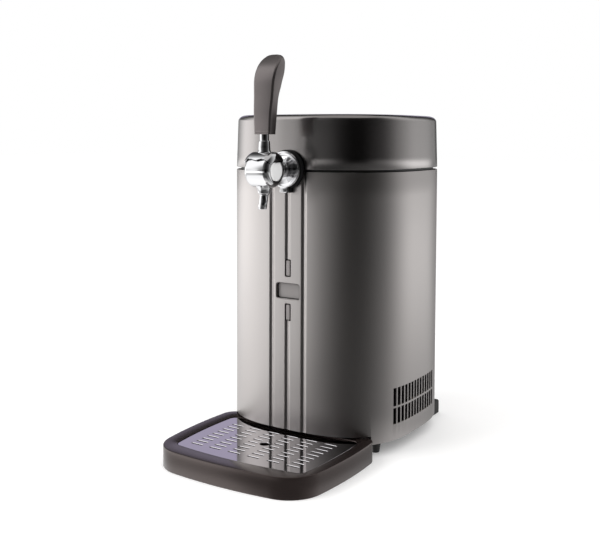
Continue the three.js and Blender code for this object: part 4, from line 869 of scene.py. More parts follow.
@dataclass
class BodyShell:
    """The pressed steel body: three grooves, window, lens slots, vents, tray notch and rear opening."""

    palette: Palette
    slots: SlotTree
    plan: Squircle = field(default_factory=Squircle)
    tray: TrayPlan = field(default_factory=TrayPlan)
    axis: TapLine = field(default_factory=TapLine)
    bottom: float = 17.5
    top: float = 372.5
    wall: float = 1.6
    edge: float = 0.6
    edge_share: float = 0.3
    plain_levels: tuple[float, ...] = (60, 110, 150, 200, 230, 300, 340)
    column_step: float = 0.4
    front_columns: int = 80
    other_columns: int = 250
    groove_places: tuple[float, ...] = (-25.7, -0.7, 24.3)
    groove_half: float = 4.6
    groove_depth: float = 1.7
    centre_gap: Pair = (174.7, 256.3)
    run_out: float = 0.2
    window_size: tuple[float, float, float] = (36.0, 20.0, 3.0)
    window_level: float = 214.0
    window_flare: float = 1.3
    lens_size: tuple[float, float, float] = (9.0, 23.0, 1.5)
    lens_levels: Pair = (244.8, 186.0)
    lens_flare: float = 0.5
    well_depth: float = 12.0
    face_clearances: Pair = (0.2, 4.0)
    vent_rows: Pairs = ((38.8, 60.2), (62.7, 87.0))
    vent_columns: int = 14
    vent_pitch: float = 8.55
    vent_width: float = 6.1
    vent_corner: float = 0.7
    vent_centre: float = -7.0
    tray_roof: float = 28.4
    tray_gap: float = 1.3
    flange_reach: float = 30.0
    flange_turn: float = 41.0
    flange_steps: int = 40
    flange_inset: float = 0.9
    opening: tuple[float, float, float] = (100.0, 84.0, 34.0)
    opening_corner: float = 3.0
    opening_from: float = 100.0
    beyond: float = 140.0

    def dip(self, x: float, level: float) -> float:
        """Give how deep the grooves are at a place on the front.

        Args:
            x: the place across the front.
            level: the height.

        Returns:
            The depth behind the plain outline.
        """
        for place in self.groove_places:
            away = abs(x - place)
            middle = place == self.groove_places[1]
            hidden = middle and self.centre_gap[0] < level < self.centre_gap[1]
            if away < self.groove_half and not hidden:
                return self.groove_depth * (1 + math.cos(math.pi * away / self.groove_half)) / 2
        return 0.0

    def angles(self) -> list[float]:
        """Give the columns' directions: fine over the grooves, even elsewhere.

        Returns:
            The directions, in radians from the front towards the right.
        """
        fine = [i * self.column_step for i in range(-self.front_columns, self.front_columns + 1)]
        front = [math.atan2(x, self.plan.face(x)) for x in fine]
        edge = front[-1]
        count = self.other_columns
        rest = [edge + (2 * math.pi - 2 * edge) * i / count for i in range(1, count)]
        return front + rest

    def ring(self, level: float, inset: float) -> Ring:
        """Give one ring of the shell.

        Args:
            level: its height.
            inset: how far it is drawn in.

        Returns:
            The ring's points.
        """
        ring = []
        for angle in self.angles():
            x, y, _ = self.plan.point(angle, level, inset)
            sink = self.dip(x, level) if y < 0 else 0.0
            ring.append((x, y + sink, level))
        return ring

    def shell(self) -> Piece:
        """Make the wall with rounded edges, before its openings are cut.

        Returns:
            The wall.
        """
        ends = [gap + side * self.run_out for gap in self.centre_gap for side in (-1, 1)]
        levels = sorted([*self.plain_levels, *ends])
        edge, near = self.edge, self.edge * self.edge_share
        rings = [self.ring(self.bottom, edge), self.ring(self.bottom + near, near),
                 self.ring(self.bottom + edge, 0.0)]
        rings += [self.ring(level, 0.0) for level in levels]
        rings += [self.ring(self.top - edge, 0.0), self.ring(self.top - near, near)]
        rings += [self.ring(self.top, edge), self.ring(self.top, self.wall)]
        rings += [self.ring(level, self.wall) for level in reversed(levels)]
        rings += [self.ring(self.bottom, self.wall)]
        return make_object("body_shell_finished", *loft(rings, loop=True), sharp=40.0)

    def front_cutter(self, size: tuple[float, float, float], level: float, flare: float) -> Piece:
        """Make a cutter for an opening in the front, flared where it meets the face.

        Args:
            size: its width, height and corner radius.
            level: its centre's height.
            flare: the size of the chamfer.

        Returns:
            The cutter.
        """
        face = self.plan.half_depth
        near, far = self.face_clearances
        rings = []
        for reach, grow in ((face - self.well_depth, 0.0), (face - flare, 0.0), (face + near, flare),
                            (face + far, flare)):
            outline = rounded_rectangle(size[0] + 2 * grow, size[1] + 2 * grow, size[2] + grow)
            rings.append([(x, -reach, level + z) for x, z in outline])
        return solid("cutter", rings)

    def cutters(self) -> list[Piece]:
        """Make every cutter of the shell.

        Returns:
            The cutters for the window, the lens slots, the vents, the tray, the rear panel and the shank.
        """
        cutters = [self.front_cutter(self.window_size, self.window_level, self.window_flare)]
        cutters += [self.front_cutter(self.lens_size, level, self.lens_flare) for level in self.lens_levels]
        steel = self.palette.materials[Finishes.BODY_STEEL]
        for low, high in self.vent_rows:
            cutters.append(self.slots.make(
                "cutter", steel, columns=1, rows=self.vent_columns, pitch_across=1.0,
                pitch_along=self.vent_pitch, width=high - low, height=self.vent_width,
                corner=self.vent_corner, depth=2 * self.beyond,
                place=(-self.beyond, self.vent_centre, (low + high) / 2), turn=(0, 90, 0)))
        gap = self.tray_gap
        notch = self.tray.outline(-gap, -gap, -gap, self.tray.front_corner, self.tray.rear_corner)
        cutters.append(solid("cutter", [[(x, y, z) for x, y in notch] for z in (0.0, self.tray_roof)]))
        width, height, level = self.opening
        door = rounded_rectangle(width, height, self.opening_corner)
        sheets = [[(x, y, level + height / 2 + z) for x, z in door]
                  for y in (self.opening_from, self.beyond)]
        cutters.append(solid("cutter", sheets))
        return cutters + [self.axis.cutter(self.axis.bore)]

    def flange(self) -> Piece:
        """Make the edge that is turned in along the top of the tray's notch.

        Returns:
            The turned-in edge.
        """
        turn, steps, level = self.flange_turn, self.flange_steps, self.tray_roof
        turns = [math.radians(-turn + 2 * turn * i / steps) for i in range(steps + 1)]
        rings = []
        for z in (level, level + self.wall):
            front = [self.plan.point(turn, z, self.flange_inset) for turn in turns]
            rings.append(front + [(x, y + self.flange_reach, z) for x, y, _ in reversed(front)])
        return solid("flange", rings)

    def build(self) -> None:
        """Make, cut and dress the shell."""
        shell = self.shell()
        combine(shell, self.cutters(), sharp=32.0)
        combine(shell, [self.flange()], "UNION", sharp=32.0)
        self.palette.place(shell, Finishes.BODY_STEEL, "cabinet", "body_steel", "body_shell")


@dataclass
class Lid:
    """The lid's drafted steel shell with its rounded crown and shallow dome."""

    palette: Palette
    plan: Squircle = field(default_factory=Squircle)
    axis: TapLine = field(default_factory=TapLine)
    bottom: float = 375.7
    shoulder: float = 439.4
    draft: float = 1.8
    crown_inset: float = 12.0
    crown_rise: float = 8.2
    dome: float = 1.3
    wall: float = 2.0
    edge: float = 0.7
    edge_share: float = 0.3
    columns: int = 300
    wall_shares: tuple[float, ...] = (0.0, 0.25, 0.5, 0.75, 1.0)
    crown_steps: int = 14
    dome_shares: tuple[float, ...] = (0.12, 0.3, 0.5, 0.7, 0.85)
    bore: float = 7.9

    def ring(self, level: float, inset: float) -> Ring:
        """Give one ring of the lid."""
        return [self.plan.point(2 * math.pi * i / self.columns, level, inset) for i in range(self.columns)]

    def skin(self, grow: float) -> list[Ring]:
        """Give the rings of the outer or the inner skin, from the bottom edge to the pole.

        Args:
            grow: how far the skin lies inside the outer one.

        Returns:
            The rings.
        """
        rings = []
        for share in self.wall_shares:
            level = self.bottom + self.edge + (self.shoulder - self.bottom - self.edge) * share
            rings.append(self.ring(level, self.draft * share + grow))
        span = self.crown_inset - self.draft
        for i in range(1, self.crown_steps + 1):
            turn = math.pi / 2 * i / self.crown_steps
            inset = self.draft + span * (1 - math.cos(turn)) + grow * math.cos(turn)
            rings.append(self.ring(self.shoulder + (self.crown_rise - grow) * math.sin(turn), inset))
        level = self.shoulder + self.crown_rise - grow
        for share in self.dome_shares:
            inset = self.crown_inset + (self.plan.half_width - self.crown_inset) * share
            rings.append(self.ring(level + self.dome * smooth_step(share), inset))
        rings.append([(0.0, 0.0, level + self.dome)])
        return rings

    def build(self) -> None:
        """Make, notch and dress the lid's shell."""
        outer, inner = self.skin(0.0), self.skin(self.wall)
        near = self.edge * self.edge_share
        lip = [self.ring(self.bottom, self.wall), self.ring(self.bottom, self.edge),
               self.ring(self.bottom + near, near)]
        shell = make_object("lid_shell_finished", *loft(inner[::-1] + lip + outer), sharp=40.0)
        combine(shell, [self.axis.cutter(self.bore)], sharp=40.0)
        self.palette.place(shell, Finishes.LID_STEEL, "lid", "lid_steel", "lid_shell")


def bevelled(piece: Piece, width: float, segments: int = 3, angle: float = 40.0,
             sharp: float = 60.0) -> None:
    """Round a piece's crisp edges, shade its flats evenly and keep the result in its mesh.

    Args:
        piece: the object.
        width: the rounding's width in millimetres.
        segments: how many steps it takes.
        angle: the angle in degrees past which an edge is rounded.
        sharp: the angle in degrees past which an edge that isn't rounded stays crisp.
    """
    step = piece.modifiers.new("edges", "BEVEL")
    step.width, step.segments = width * MM, segments
    step.limit_method, step.angle_limit = "ANGLE", math.radians(angle)
    step.use_clamp_overlap = True
    for face in piece.data.polygons:
        face.use_smooth = True
    piece.data.set_sharp_from_angle(angle=math.radians(sharp))
    even = piece.modifiers.new("shading", "WEIGHTED_NORMAL")
    even.keep_sharp = True
    apply_modifiers(piece)


def refined(node: str, width: float, flat: float = 1.5) -> Piece:
    """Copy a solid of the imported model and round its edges.

    Args:
        node: the node's name.
        width: the rounding's width in millimetres.
        flat: the angle in degrees up to which faces are joined into one first.

    Returns:
        The copy.
    """
    made = bpy.data.objects.new(f"{node}_finished", frame["nodes"][node].data.copy())
    made.data.materials.clear()
    bpy.context.scene.collection.objects.link(made)
    work = bmesh.new()
    work.from_mesh(made.data)
    bmesh.ops.remove_doubles(work, verts=work.verts, dist=1e-6)
    bmesh.ops.dissolve_limit(work, angle_limit=math.radians(flat), verts=work.verts, edges=work.edges)
    work.to_mesh(made.data)
    work.free()
    bevelled(made, width)
    return made


@dataclass
class Tap:
    """The chrome tap: drum, ringed neck, collar, end caps, spout, dished flange and rubber gasket.

    The rows are pairs. The neck's, the collar's and the spout's are a place along the piece and how much
    wider it is there, the shank's a place and a radius, the cap's and the dish's a distance in from the
    rim and a depth.
    """

    palette: Palette
    axis: TapLine = field(default_factory=TapLine)
    recess_radius: float = 14.1
    recess_depth: float = 1.2
    recess_flare: float = 0.2
    neck_radius: float = 8.8
    neck_rows: Pairs = ((167.0, 3.2), (164.6, 2.6), (163.4, 0.9), (162.0, 0.2), (160.8, 0.0))
    ring_radius: float = 10.5
    ring_places: Pair = (155.6, 147.2)
    ring_half: float = 1.5
    ring_bulge: float = 1.25
    ring_power: float = 0.6
    ring_turns: tuple[int, int, int] = (-80, 81, 20)
    shank_rows: Pairs = ((143.0, 7.5), (104.7, 7.5), (104.7, 4.5), (94.7, 4.5), (94.7, 0))
    collar_radius: float = 8.3
    collar_drop: float = 7.6
    collar_start: float = 1.5
    collar_lip: float = 1.0
    collar_inset: float = 1.2
    collar_rows: Pairs = ((3.0, 0.0), (5.5, 0.5), (7.6, 1.8), (10.0, 2.6))
    cap_radius: float = 13.0
    cap_thickness: float = 1.7
    cap_round: float = 1.1
    cap_gap: float = 0.1
    plug_from: float = 12.8
    plug_radius: float = 12.2
    cap_crown: Pairs = ((3.4, 0.05), (7.0, 0.09), (13.0, 0.1))
    spout_radius: float = 5.5
    spout_bore: float = 4.1
    spout_tip: float = 327.0
    spout_lean: float = 4.0
    spout_gap: float = 0.3
    spout_lips: Pair = (0.4, 0.5)
    spout_straight: float = 9.0
    spout_flare: Pairs = ((2.2, 0.15), (0.9, 0.5), (0.0, 0.9))
    spout_sides: int = 64
    tab_overlap: float = 3.0
    tab_edge: Pairs = ((0.5, 0.0), (0.15, -0.2), (0.0, -0.6))
    flange_radius: float = 24.0
    flange_back: float = 138.45
    flange_front: float = 143.65
    flange_edge: float = 0.4
    flange_rim: float = 1.4
    flange_dish: Pairs = (
        (2.2, 0.0), (2.9, 0.15), (3.7, 0.6), (4.6, 1.15), (5.8, 1.45), (11.0, 1.5), (16.2, 1.45))
    flange_tab: tuple[float, float, float, float] = (11.5, 6.0, 1.0, 0.3)
    gasket_radius: float = 25.5
    gasket_back: float = 132.15
    gasket_front: float = 138.15
    gasket_edges: Pair = (0.8, 1.0)
    gasket_tab: tuple[float, float, float, float] = (16.0, 5.0, 1.5, 0.2)

    def drum(self) -> Piece:
        """Make the drum with its rounded ends and the recesses of the caps.

        Returns:
            The drum.
        """
        r, half, bend = self.axis.drum_radius, self.axis.drum_half, self.axis.drum_round
        left = rounded_corner((-half + bend, r - bend), bend, 180, 90, 9)
        right = rounded_corner((half - bend, r - bend), bend, 90, 0, 9)
        well, deep = self.recess_radius, half - self.recess_depth
        mouth = well + self.recess_flare
        profile = [(-deep, 0), (-deep, well), (-half, mouth)] + left + right
        profile += [(half, mouth), (deep, well), (deep, 0)]
        return turned("tap_body_finished", profile, "X", (0, -self.axis.reach, self.axis.level), steps=128)

    def neck(self) -> Piece:
        """Make the neck with its foot and rings, and the shank and its barb behind it.

        Returns:
            The neck.
        """
        n, ring = self.neck_radius, self.ring_radius
        profile = [(-self.axis.reach, 0), (-self.axis.reach, n + self.neck_rows[0][1])]
        profile += [(-place, n + grow) for place, grow in self.neck_rows]
        for middle in self.ring_places:
            profile.append((-middle - self.ring_half, n))
            for angle in range(*self.ring_turns):
                turn = math.radians(angle)
                profile.append((-middle + self.ring_bulge * math.sin(turn),
                                n + (ring - n) * math.cos(turn) ** self.ring_power))
            profile.append((-middle + self.ring_half, n))
        profile.append((-self.shank_rows[0][0], n))
        profile += [(-place, radius) for place, radius in self.shank_rows]
        return turned("neck", profile, "Y", (0, 0, self.axis.level), steps=96)

    def collar(self) -> Piece:
        """Make the tapered collar that carries the spout.

        Returns:
            The collar.
        """
        low, c = self.axis.level - self.axis.drum_radius - self.collar_drop, self.collar_radius
        lip = rounded_corner((low + self.collar_lip, c - self.collar_inset), self.collar_lip, 180, 90, 5)
        profile = [(low, 0), (low, c - self.collar_start)] + lip[1:]
        profile += [(low + rise, c + grow) for rise, grow in self.collar_rows]
        profile.append((low + self.collar_rows[-1][0], 0))
        return turned("collar", profile, "Z", (0, -self.axis.reach, 0), steps=72)

    def body(self) -> None:
        """Make the casting: drum, neck with its rings, shank and collar."""
        drum = self.drum()
        combine(drum, [self.neck(), self.collar()], "UNION", sharp=50.0)
        self.palette.place(drum, Finishes.CHROME, "cabinet", "bright_chrome", "tap_body")

    def caps(self) -> None:
        """Make the two end caps with softly rounded rims."""
        r, start, bend = self.cap_radius, self.axis.drum_half - self.recess_depth, self.cap_round
        face, seat = start + self.cap_thickness, start + self.cap_gap
        profile = [(self.plug_from, 0), (self.plug_from, self.plug_radius), (seat, self.plug_radius),
                   (seat, r)]
        profile += rounded_corner((face - bend, r - bend), bend, 90, 0, 6)
        profile += [(face + rise, r - inset) for inset, rise in self.cap_crown]
        for word, side in (("left", -1), ("right", 1)):
            cap = turned(f"tap_end_cap_{word}_finished", [(side * x, y) for x, y in profile], "X",
                         (0, -self.axis.reach, self.axis.level), steps=96)
            self.palette.place(cap, Finishes.SPUN_CHROME, "cabinet", "bright_chrome", f"tap_end_cap_{word}")

    def spout(self) -> None:
        """Make the leaning tube with a rounded lip."""
        top = self.axis.level - self.axis.drum_radius - self.collar_drop - self.spout_gap
        outer, inner, tip = self.spout_radius, self.spout_bore, self.spout_tip
        inside, outside = self.spout_lips
        rows = [(top, inner), (tip + outside, inner), (tip, inner + inside), (tip, outer - outside),
                (tip + outside, outer), (tip + self.spout_straight, outer)]
        rows += [(top - drop, outer + grow) for drop, grow in self.spout_flare]
        rows.append((top, inner))
        turns = [math.tau * i / self.spout_sides for i in range(self.spout_sides)]
        rings = []
        for level, radius in rows:
            y = -self.axis.reach - (top - level) * self.spout_lean / (top - tip)
            rings.append([(radius * math.cos(turn), y + radius * math.sin(turn), level) for turn in turns])
        tube = make_object("tap_spout_finished", *loft(rings, loop=True), sharp=50.0)
        self.palette.place(tube, Finishes.CHROME, "cabinet", "bright_chrome", "tap_spout")

    def tab(self, sizes: tuple[float, float, float, float], radius: float, back: float, front: float,
            ) -> Piece:
        """Make the tab that hangs from a disc.

        Args:
            sizes: its width, how far it hangs below the disc, its corners' radius, and how far its face
                lies behind the disc's.
            radius: the disc's radius.
            back: the disc's back, ahead of the body's axis.
            front: the disc's front.

        Returns:
            The tab.
        """
        width, drop, corner, step = sizes
        low = self.axis.level - radius - drop
        high = self.axis.level - radius + self.tab_overlap
        outline = rounded_rectangle(width, high - low, corner)
        rings = []
        face = front - step
        for reach, grow in [(back, 0.0)] + [(face - behind, grow) for behind, grow in self.tab_edge]:
            rings.append([(x * (1 + 2 * grow / width), -reach, (low + high) / 2 + z) for x, z in outline])
        return solid("tab", rings, sharp=50.0)

    def flange(self) -> None:
        """Make the dished chrome flange with its raised rim and tab."""
        r, back, front, rim = self.flange_radius, self.flange_back, self.flange_front, self.flange_rim
        profile = [(-back, self.axis.bore), (-back, r - self.flange_edge), (-back - self.flange_edge, r),
                   (-front + rim, r)]
        profile += rounded_corner((-front + rim, r - rim), rim, 90, 180, 7)[1:]
        profile += [(-front + depth, r - inset) for inset, depth in self.flange_dish]
        disc = turned("tap_flange_finished", profile, "Y", (0, 0, self.axis.level), steps=128)
        combine(disc, [self.tab(self.flange_tab, r, back, front)], "UNION", sharp=50.0)
        self.palette.place(disc, Finishes.CHROME, "cabinet", "bright_chrome", "tap_flange")

    def gasket(self) -> None:
        """Make the black rubber gasket behind the flange."""
        r, back, front = self.gasket_radius, self.gasket_back, self.gasket_front
        near, far = self.gasket_edges
        profile = [(-back, self.axis.bore), (-back, r - near), (-back - near, r), (-front + far, r),
                   (-front, r - far), (-front, self.axis.bore)]
        disc = turned("tap_gasket_finished", profile, "Y", (0, 0, self.axis.level), steps=96)
        combine(disc, [self.tab(self.gasket_tab, r, back, front)], "UNION", sharp=50.0)
        self.palette.place(disc, Finishes.SEAL_AND_PAINTED_SHADE, "cabinet", "black_rubber", "tap_gasket")

    def build(self) -> None:
        """Make every piece of the tap."""
        self.body()
        self.caps()
        self.spout()
        self.flange()
        self.gasket()


@dataclass
class Lever:
    """The pull lever: a saddle cap on the drum, a stepped stem and the tall handle."""

    palette: Palette
    axis: TapLine = field(default_factory=TapLine)
    cap_gap: float = 1.0
    cap_wall: float = 1.4
    arc_steps: int = 26
    end_steps: int = 12
    middle_steps: int = 14
    front_turn: float = 51.5
    front_wave: float = 2.7
    front_fall: float = 9.0
    end_draw: float = 14.0
    draw_from: float = 0.4
    back_turn: float = 45.0
    # How far a face must turn in towards the drum to take the painted shade.
    painted_shade_side: float = -0.5
    lobe_outline: Pairs = (
        (-11.4, 10.7), (-9.0, 11.1), (-6.5, 10.8), (-4.6, 10.1), (-3.2, 9.0), (-1.8, 10.1), (1.0, 11.3),
        (5.0, 12.1), (9.0, 12.3), (11.4, 11.5))
    lobe_top: float = 0.8
    lobe_turns: tuple[int, int, int] = (48, -49, -6)
    lobe_middle: float = 12.0
    lobe_halves: Pair = (19.0, 6.0)
    lobe_edge: Pairs = ((0.5, 0.0), (0.15, 0.2), (0.0, 0.6))
    stem_rows: Pairs = (
        (22.6, 0), (22.6, 8.6), (24.1, 8.55), (24.7, 8.1), (25.4, 7.85), (29.6, 7.5), (36.6, 7.05),
        (37.2, 6.9), (37.45, 6.4), (37.5, 5.95), (38.0, 5.85), (46.9, 5.85), (46.9, 3.5), (54.0, 3.5),
        (54.0, 0))
    handle_width: float = 28.4
    handle_reach: float = 31.6
    handle_lead: float = 6.1
    handle_rise: float = 47.2
    handle_height: float = 100.0
    handle_rows: tuple[tuple[float, float, float, float], ...] = (
        (0, 0.78, 0, 0.456), (0.27, 0.86, 0.013, 0.513), (0.465, 0.925, 0.073, 0.573),
        (0.59, 0.965, 0.098, 0.712), (0.66, 0.986, 0.123, 0.782), (0.715, 1, 0.171, 0.854),
        (0.795, 0.995, 0.278, 0.945), (0.86, 0.985, 0.42, 0.98), (0.905, 0.96, 0.56, 1.0),
        (0.94, 0.90, 0.68, 1.0), (0.965, 0.80, 0.77, 0.995), (0.983, 0.66, 0.835, 0.98),
        (0.995, 0.44, 0.88, 0.955), (1, 0.2, 0.905, 0.935))
    handle_swell: Pair = (1.12, 1.03)
    handle_corner: float = 3.0
    corner_share: float = 0.45
    handle_drop: float = 1.7
    handle_chamfer: float = 0.5
    even_rows: int = 36
    last_even_row: int = 32
    tip_rows: tuple[float, ...] = (0.905, 0.92, 0.932, 0.944, 0.955, 0.965, 0.974, 0.982, 0.988, 0.993,
                                   0.997, 0.9995)

    def section(self, inner: Pair, outer: Pair, front: float, back: float) -> Ring:
        """Give one arched section of the saddle.

        Args:
            inner: its inner side's place along the drum's axis and radius.
            outer: its outer side's place and radius.
            front: how far down the front it comes, in degrees from the top.
            back: how far down the back it comes, in degrees from the top.

        Returns:
            The section's points.
        """
        steps = self.arc_steps
        turns = [math.radians(-back + (front + back) * i / steps) for i in range(steps + 1)]
        ring = []
        for (place, radius), course in ((outer, turns), (inner, turns[::-1])):
            ring += [(place, -self.axis.reach - radius * math.sin(turn),
                      self.axis.level + radius * math.cos(turn)) for turn in course]
        return ring

    def lobe(self, side: int, near: float, far: float, core: float) -> Piece:
        """Make the pointed lobe that closes one end of the saddle.

        Args:
            side: -1 for the left end, 1 for the right.
            near: how far out its inner side lies.
            far: how far out its outer side lies.
            core: the radius of the flat middle of the drum's end.

        Returns:
            The lobe.
        """
        radius = core + self.lobe_top
        turns = [math.radians(angle) for angle in range(*self.lobe_turns)]
        outline = list(self.lobe_outline)
        outline += [(math.sin(turn) * radius, math.cos(turn) * radius) for turn in turns]
        wide, tall = self.lobe_halves
        middle = self.lobe_middle
        rings = []
        for x, grow in [(near, 0.0)] + [(far - behind, grow) for behind, grow in self.lobe_edge]:
            rings.append([(side * x, -self.axis.reach + y * (1 - grow / wide),
                           self.axis.level + (z - middle) * (1 - grow / tall) + middle)
                          for y, z in outline])
        return solid("lobe", rings, sharp=50.0)

    def saddle(self) -> None:
        """Make the thin cap over the drum, with its wavy front edge and a pointed lobe over each end."""
        axis = self.axis
        flat, core = axis.drum_half - axis.drum_round, axis.drum_radius - axis.drum_round
        inner_bend = axis.drum_round + self.cap_gap
        outer_bend = inner_bend + self.cap_wall
        turns = [90 * i / self.end_steps for i in range(1, self.end_steps + 1)]
        middle = self.middle_steps
        places = [(-flat, -turn) for turn in reversed(turns)]
        places += [(flat * i / middle, 0.0) for i in range(-middle, middle + 1)]
        places += [(flat, turn) for turn in turns]
        rings = []
        for place, turn in places:
            lean, lift = math.sin(math.radians(turn)), math.cos(math.radians(turn))
            share = (place + outer_bend * lean) / (flat + outer_bend)
            front = self.front_turn + self.front_wave * math.cos(math.radians(360 * share))
            front += self.front_fall * share ** 4
            front -= self.end_draw * max(0.0, abs(turn) / 90 - self.draw_from)
            rings.append(self.section((place + inner_bend * lean, core + inner_bend * lift),
                                      (place + outer_bend * lean, core + outer_bend * lift), front,
                                      self.back_turn))
        points, faces = loft(rings)
        count = len(rings[0])
        for first in (0, count * (len(rings) - 1)):
            faces += [(first + i, first + i + 1, first + count - 2 - i, first + count - 1 - i)
                      for i in range(count // 2 - 1)]
        cap = make_object("lever_cap_finished", points, faces, sharp=50.0)
        lobes = [self.lobe(side, flat + inner_bend, flat + outer_bend, core) for side in (-1, 1)]
        gather(cap, lobes, sharp=24.0)
        self.palette.dress(cap, Finishes.CHROME)
        self.line(cap)
        settle(cap, "lever", "bright_chrome", "lever_cap")

    def line(self, cap: Piece) -> None:
        """Paint shade on the saddle's inner side: the faces that turn in towards the drum take the black
        finish, as painted shade in the gap under its edge.

        Args:
            cap: the saddle.
        """
        # Painted shade: a second, black material for the inner faces, so that the gap under the saddle's
        # edge reads as a dark line.
        cap.data.materials.append(self.palette.materials[Finishes.SEAL_AND_PAINTED_SHADE])
        for face in cap.data.polygons:
            away = face.center - in_frame((0.0, -self.axis.reach, self.axis.level))
            outward = Vector((0.0, away.y, away.z)).normalized()
            if face.normal.dot(outward) < self.painted_shade_side:
                face.material_index = 1

    def stem(self) -> None:
        """Make the stem with its flared foot, its step and its neck."""
        stem = turned("lever_stem_finished", self.stem_rows, "Z", (0, -self.axis.reach, self.axis.level),
                      steps=72, sharp=50.0)
        self.palette.place(stem, Finishes.CHROME, "lever", "bright_chrome", "lever_stem")

    def slope(self, row: int, column: int) -> float:
        """Give the slope of a column of the handle's rows, from the rows beside it.

        Args:
            row: the row's number.
            column: the column's number.

        Returns:
            The slope.
        """
        rows = self.handle_rows
        beside = [j for j in (row - 1, row) if 0 <= j < len(rows) - 1]
        sides = [(rows[j + 1][column] - rows[j][column]) / (rows[j + 1][0] - rows[j][0]) for j in beside]
        widths = [rows[j + 1][0] - rows[j][0] for j in beside]
        if len(sides) == 1:
            return sides[0]
        return (sides[0] * widths[1] + sides[1] * widths[0]) / sum(widths)

    def handle_row(self, rise: float) -> tuple[float, ...]:
        """Give a smooth row of the handle at a share of its height, by a cubic between the measured rows.

        Args:
            rise: the share of the height.

        Returns:
            The share, then the half-width share, the front share and the back share.
        """
        rows = self.handle_rows
        k = max(i for i in range(len(rows) - 1) if rows[i][0] <= rise)
        span = rows[k + 1][0] - rows[k][0]
        t = (rise - rows[k][0]) / span
        values = [rise]
        for column in (1, 2, 3):
            a, b = rows[k][column], rows[k + 1][column]
            start, end = self.slope(k, column), self.slope(k + 1, column)
            values.append(a * (1 + 2 * t) * (1 - t) ** 2 + b * t * t * (3 - 2 * t)
                          + span * (start * t * (1 - t) ** 2 - end * t * t * (1 - t)))
        return tuple(values)

    def handle(self) -> None:
        """Make the tall moulded handle, flat in front, with soft corners."""
        rings = []
        places = [i / self.even_rows for i in range(self.last_even_row + 1)] + list(self.tip_rows)
        rows = [(self.handle_row(0.0), self.handle_chamfer)]
        rows += [(self.handle_row(place), 0.0) for place in places]
        swell_across, swell_along = self.handle_swell
        for (rise, wide, front, back), inset in rows:
            across = wide * self.handle_width * swell_across - 2 * inset
            along = (back - front) * self.handle_reach * swell_along - 2 * inset
            middle = -self.axis.reach - self.handle_lead + (front + back) * self.handle_reach / 2
            level = self.axis.level + self.handle_rise + rise * self.handle_height
            if rise == 0:
                level += self.handle_chamfer - inset - self.handle_drop
            corner = min(self.handle_corner, across * self.corner_share, along * self.corner_share)
            outline = rounded_rectangle(across, along, corner, 9)
            rings.append([(x, middle + y, level) for x, y in outline])
        handle = solid("lever_handle_finished", rings, sharp=50.0)
        self.palette.place(handle, Finishes.HANDLE_PLASTIC, "lever", "handle_plastic", "lever_handle")

    def build(self) -> None:
        """Make every piece of the lever that shows."""
        self.saddle()
        self.stem()
        self.handle()


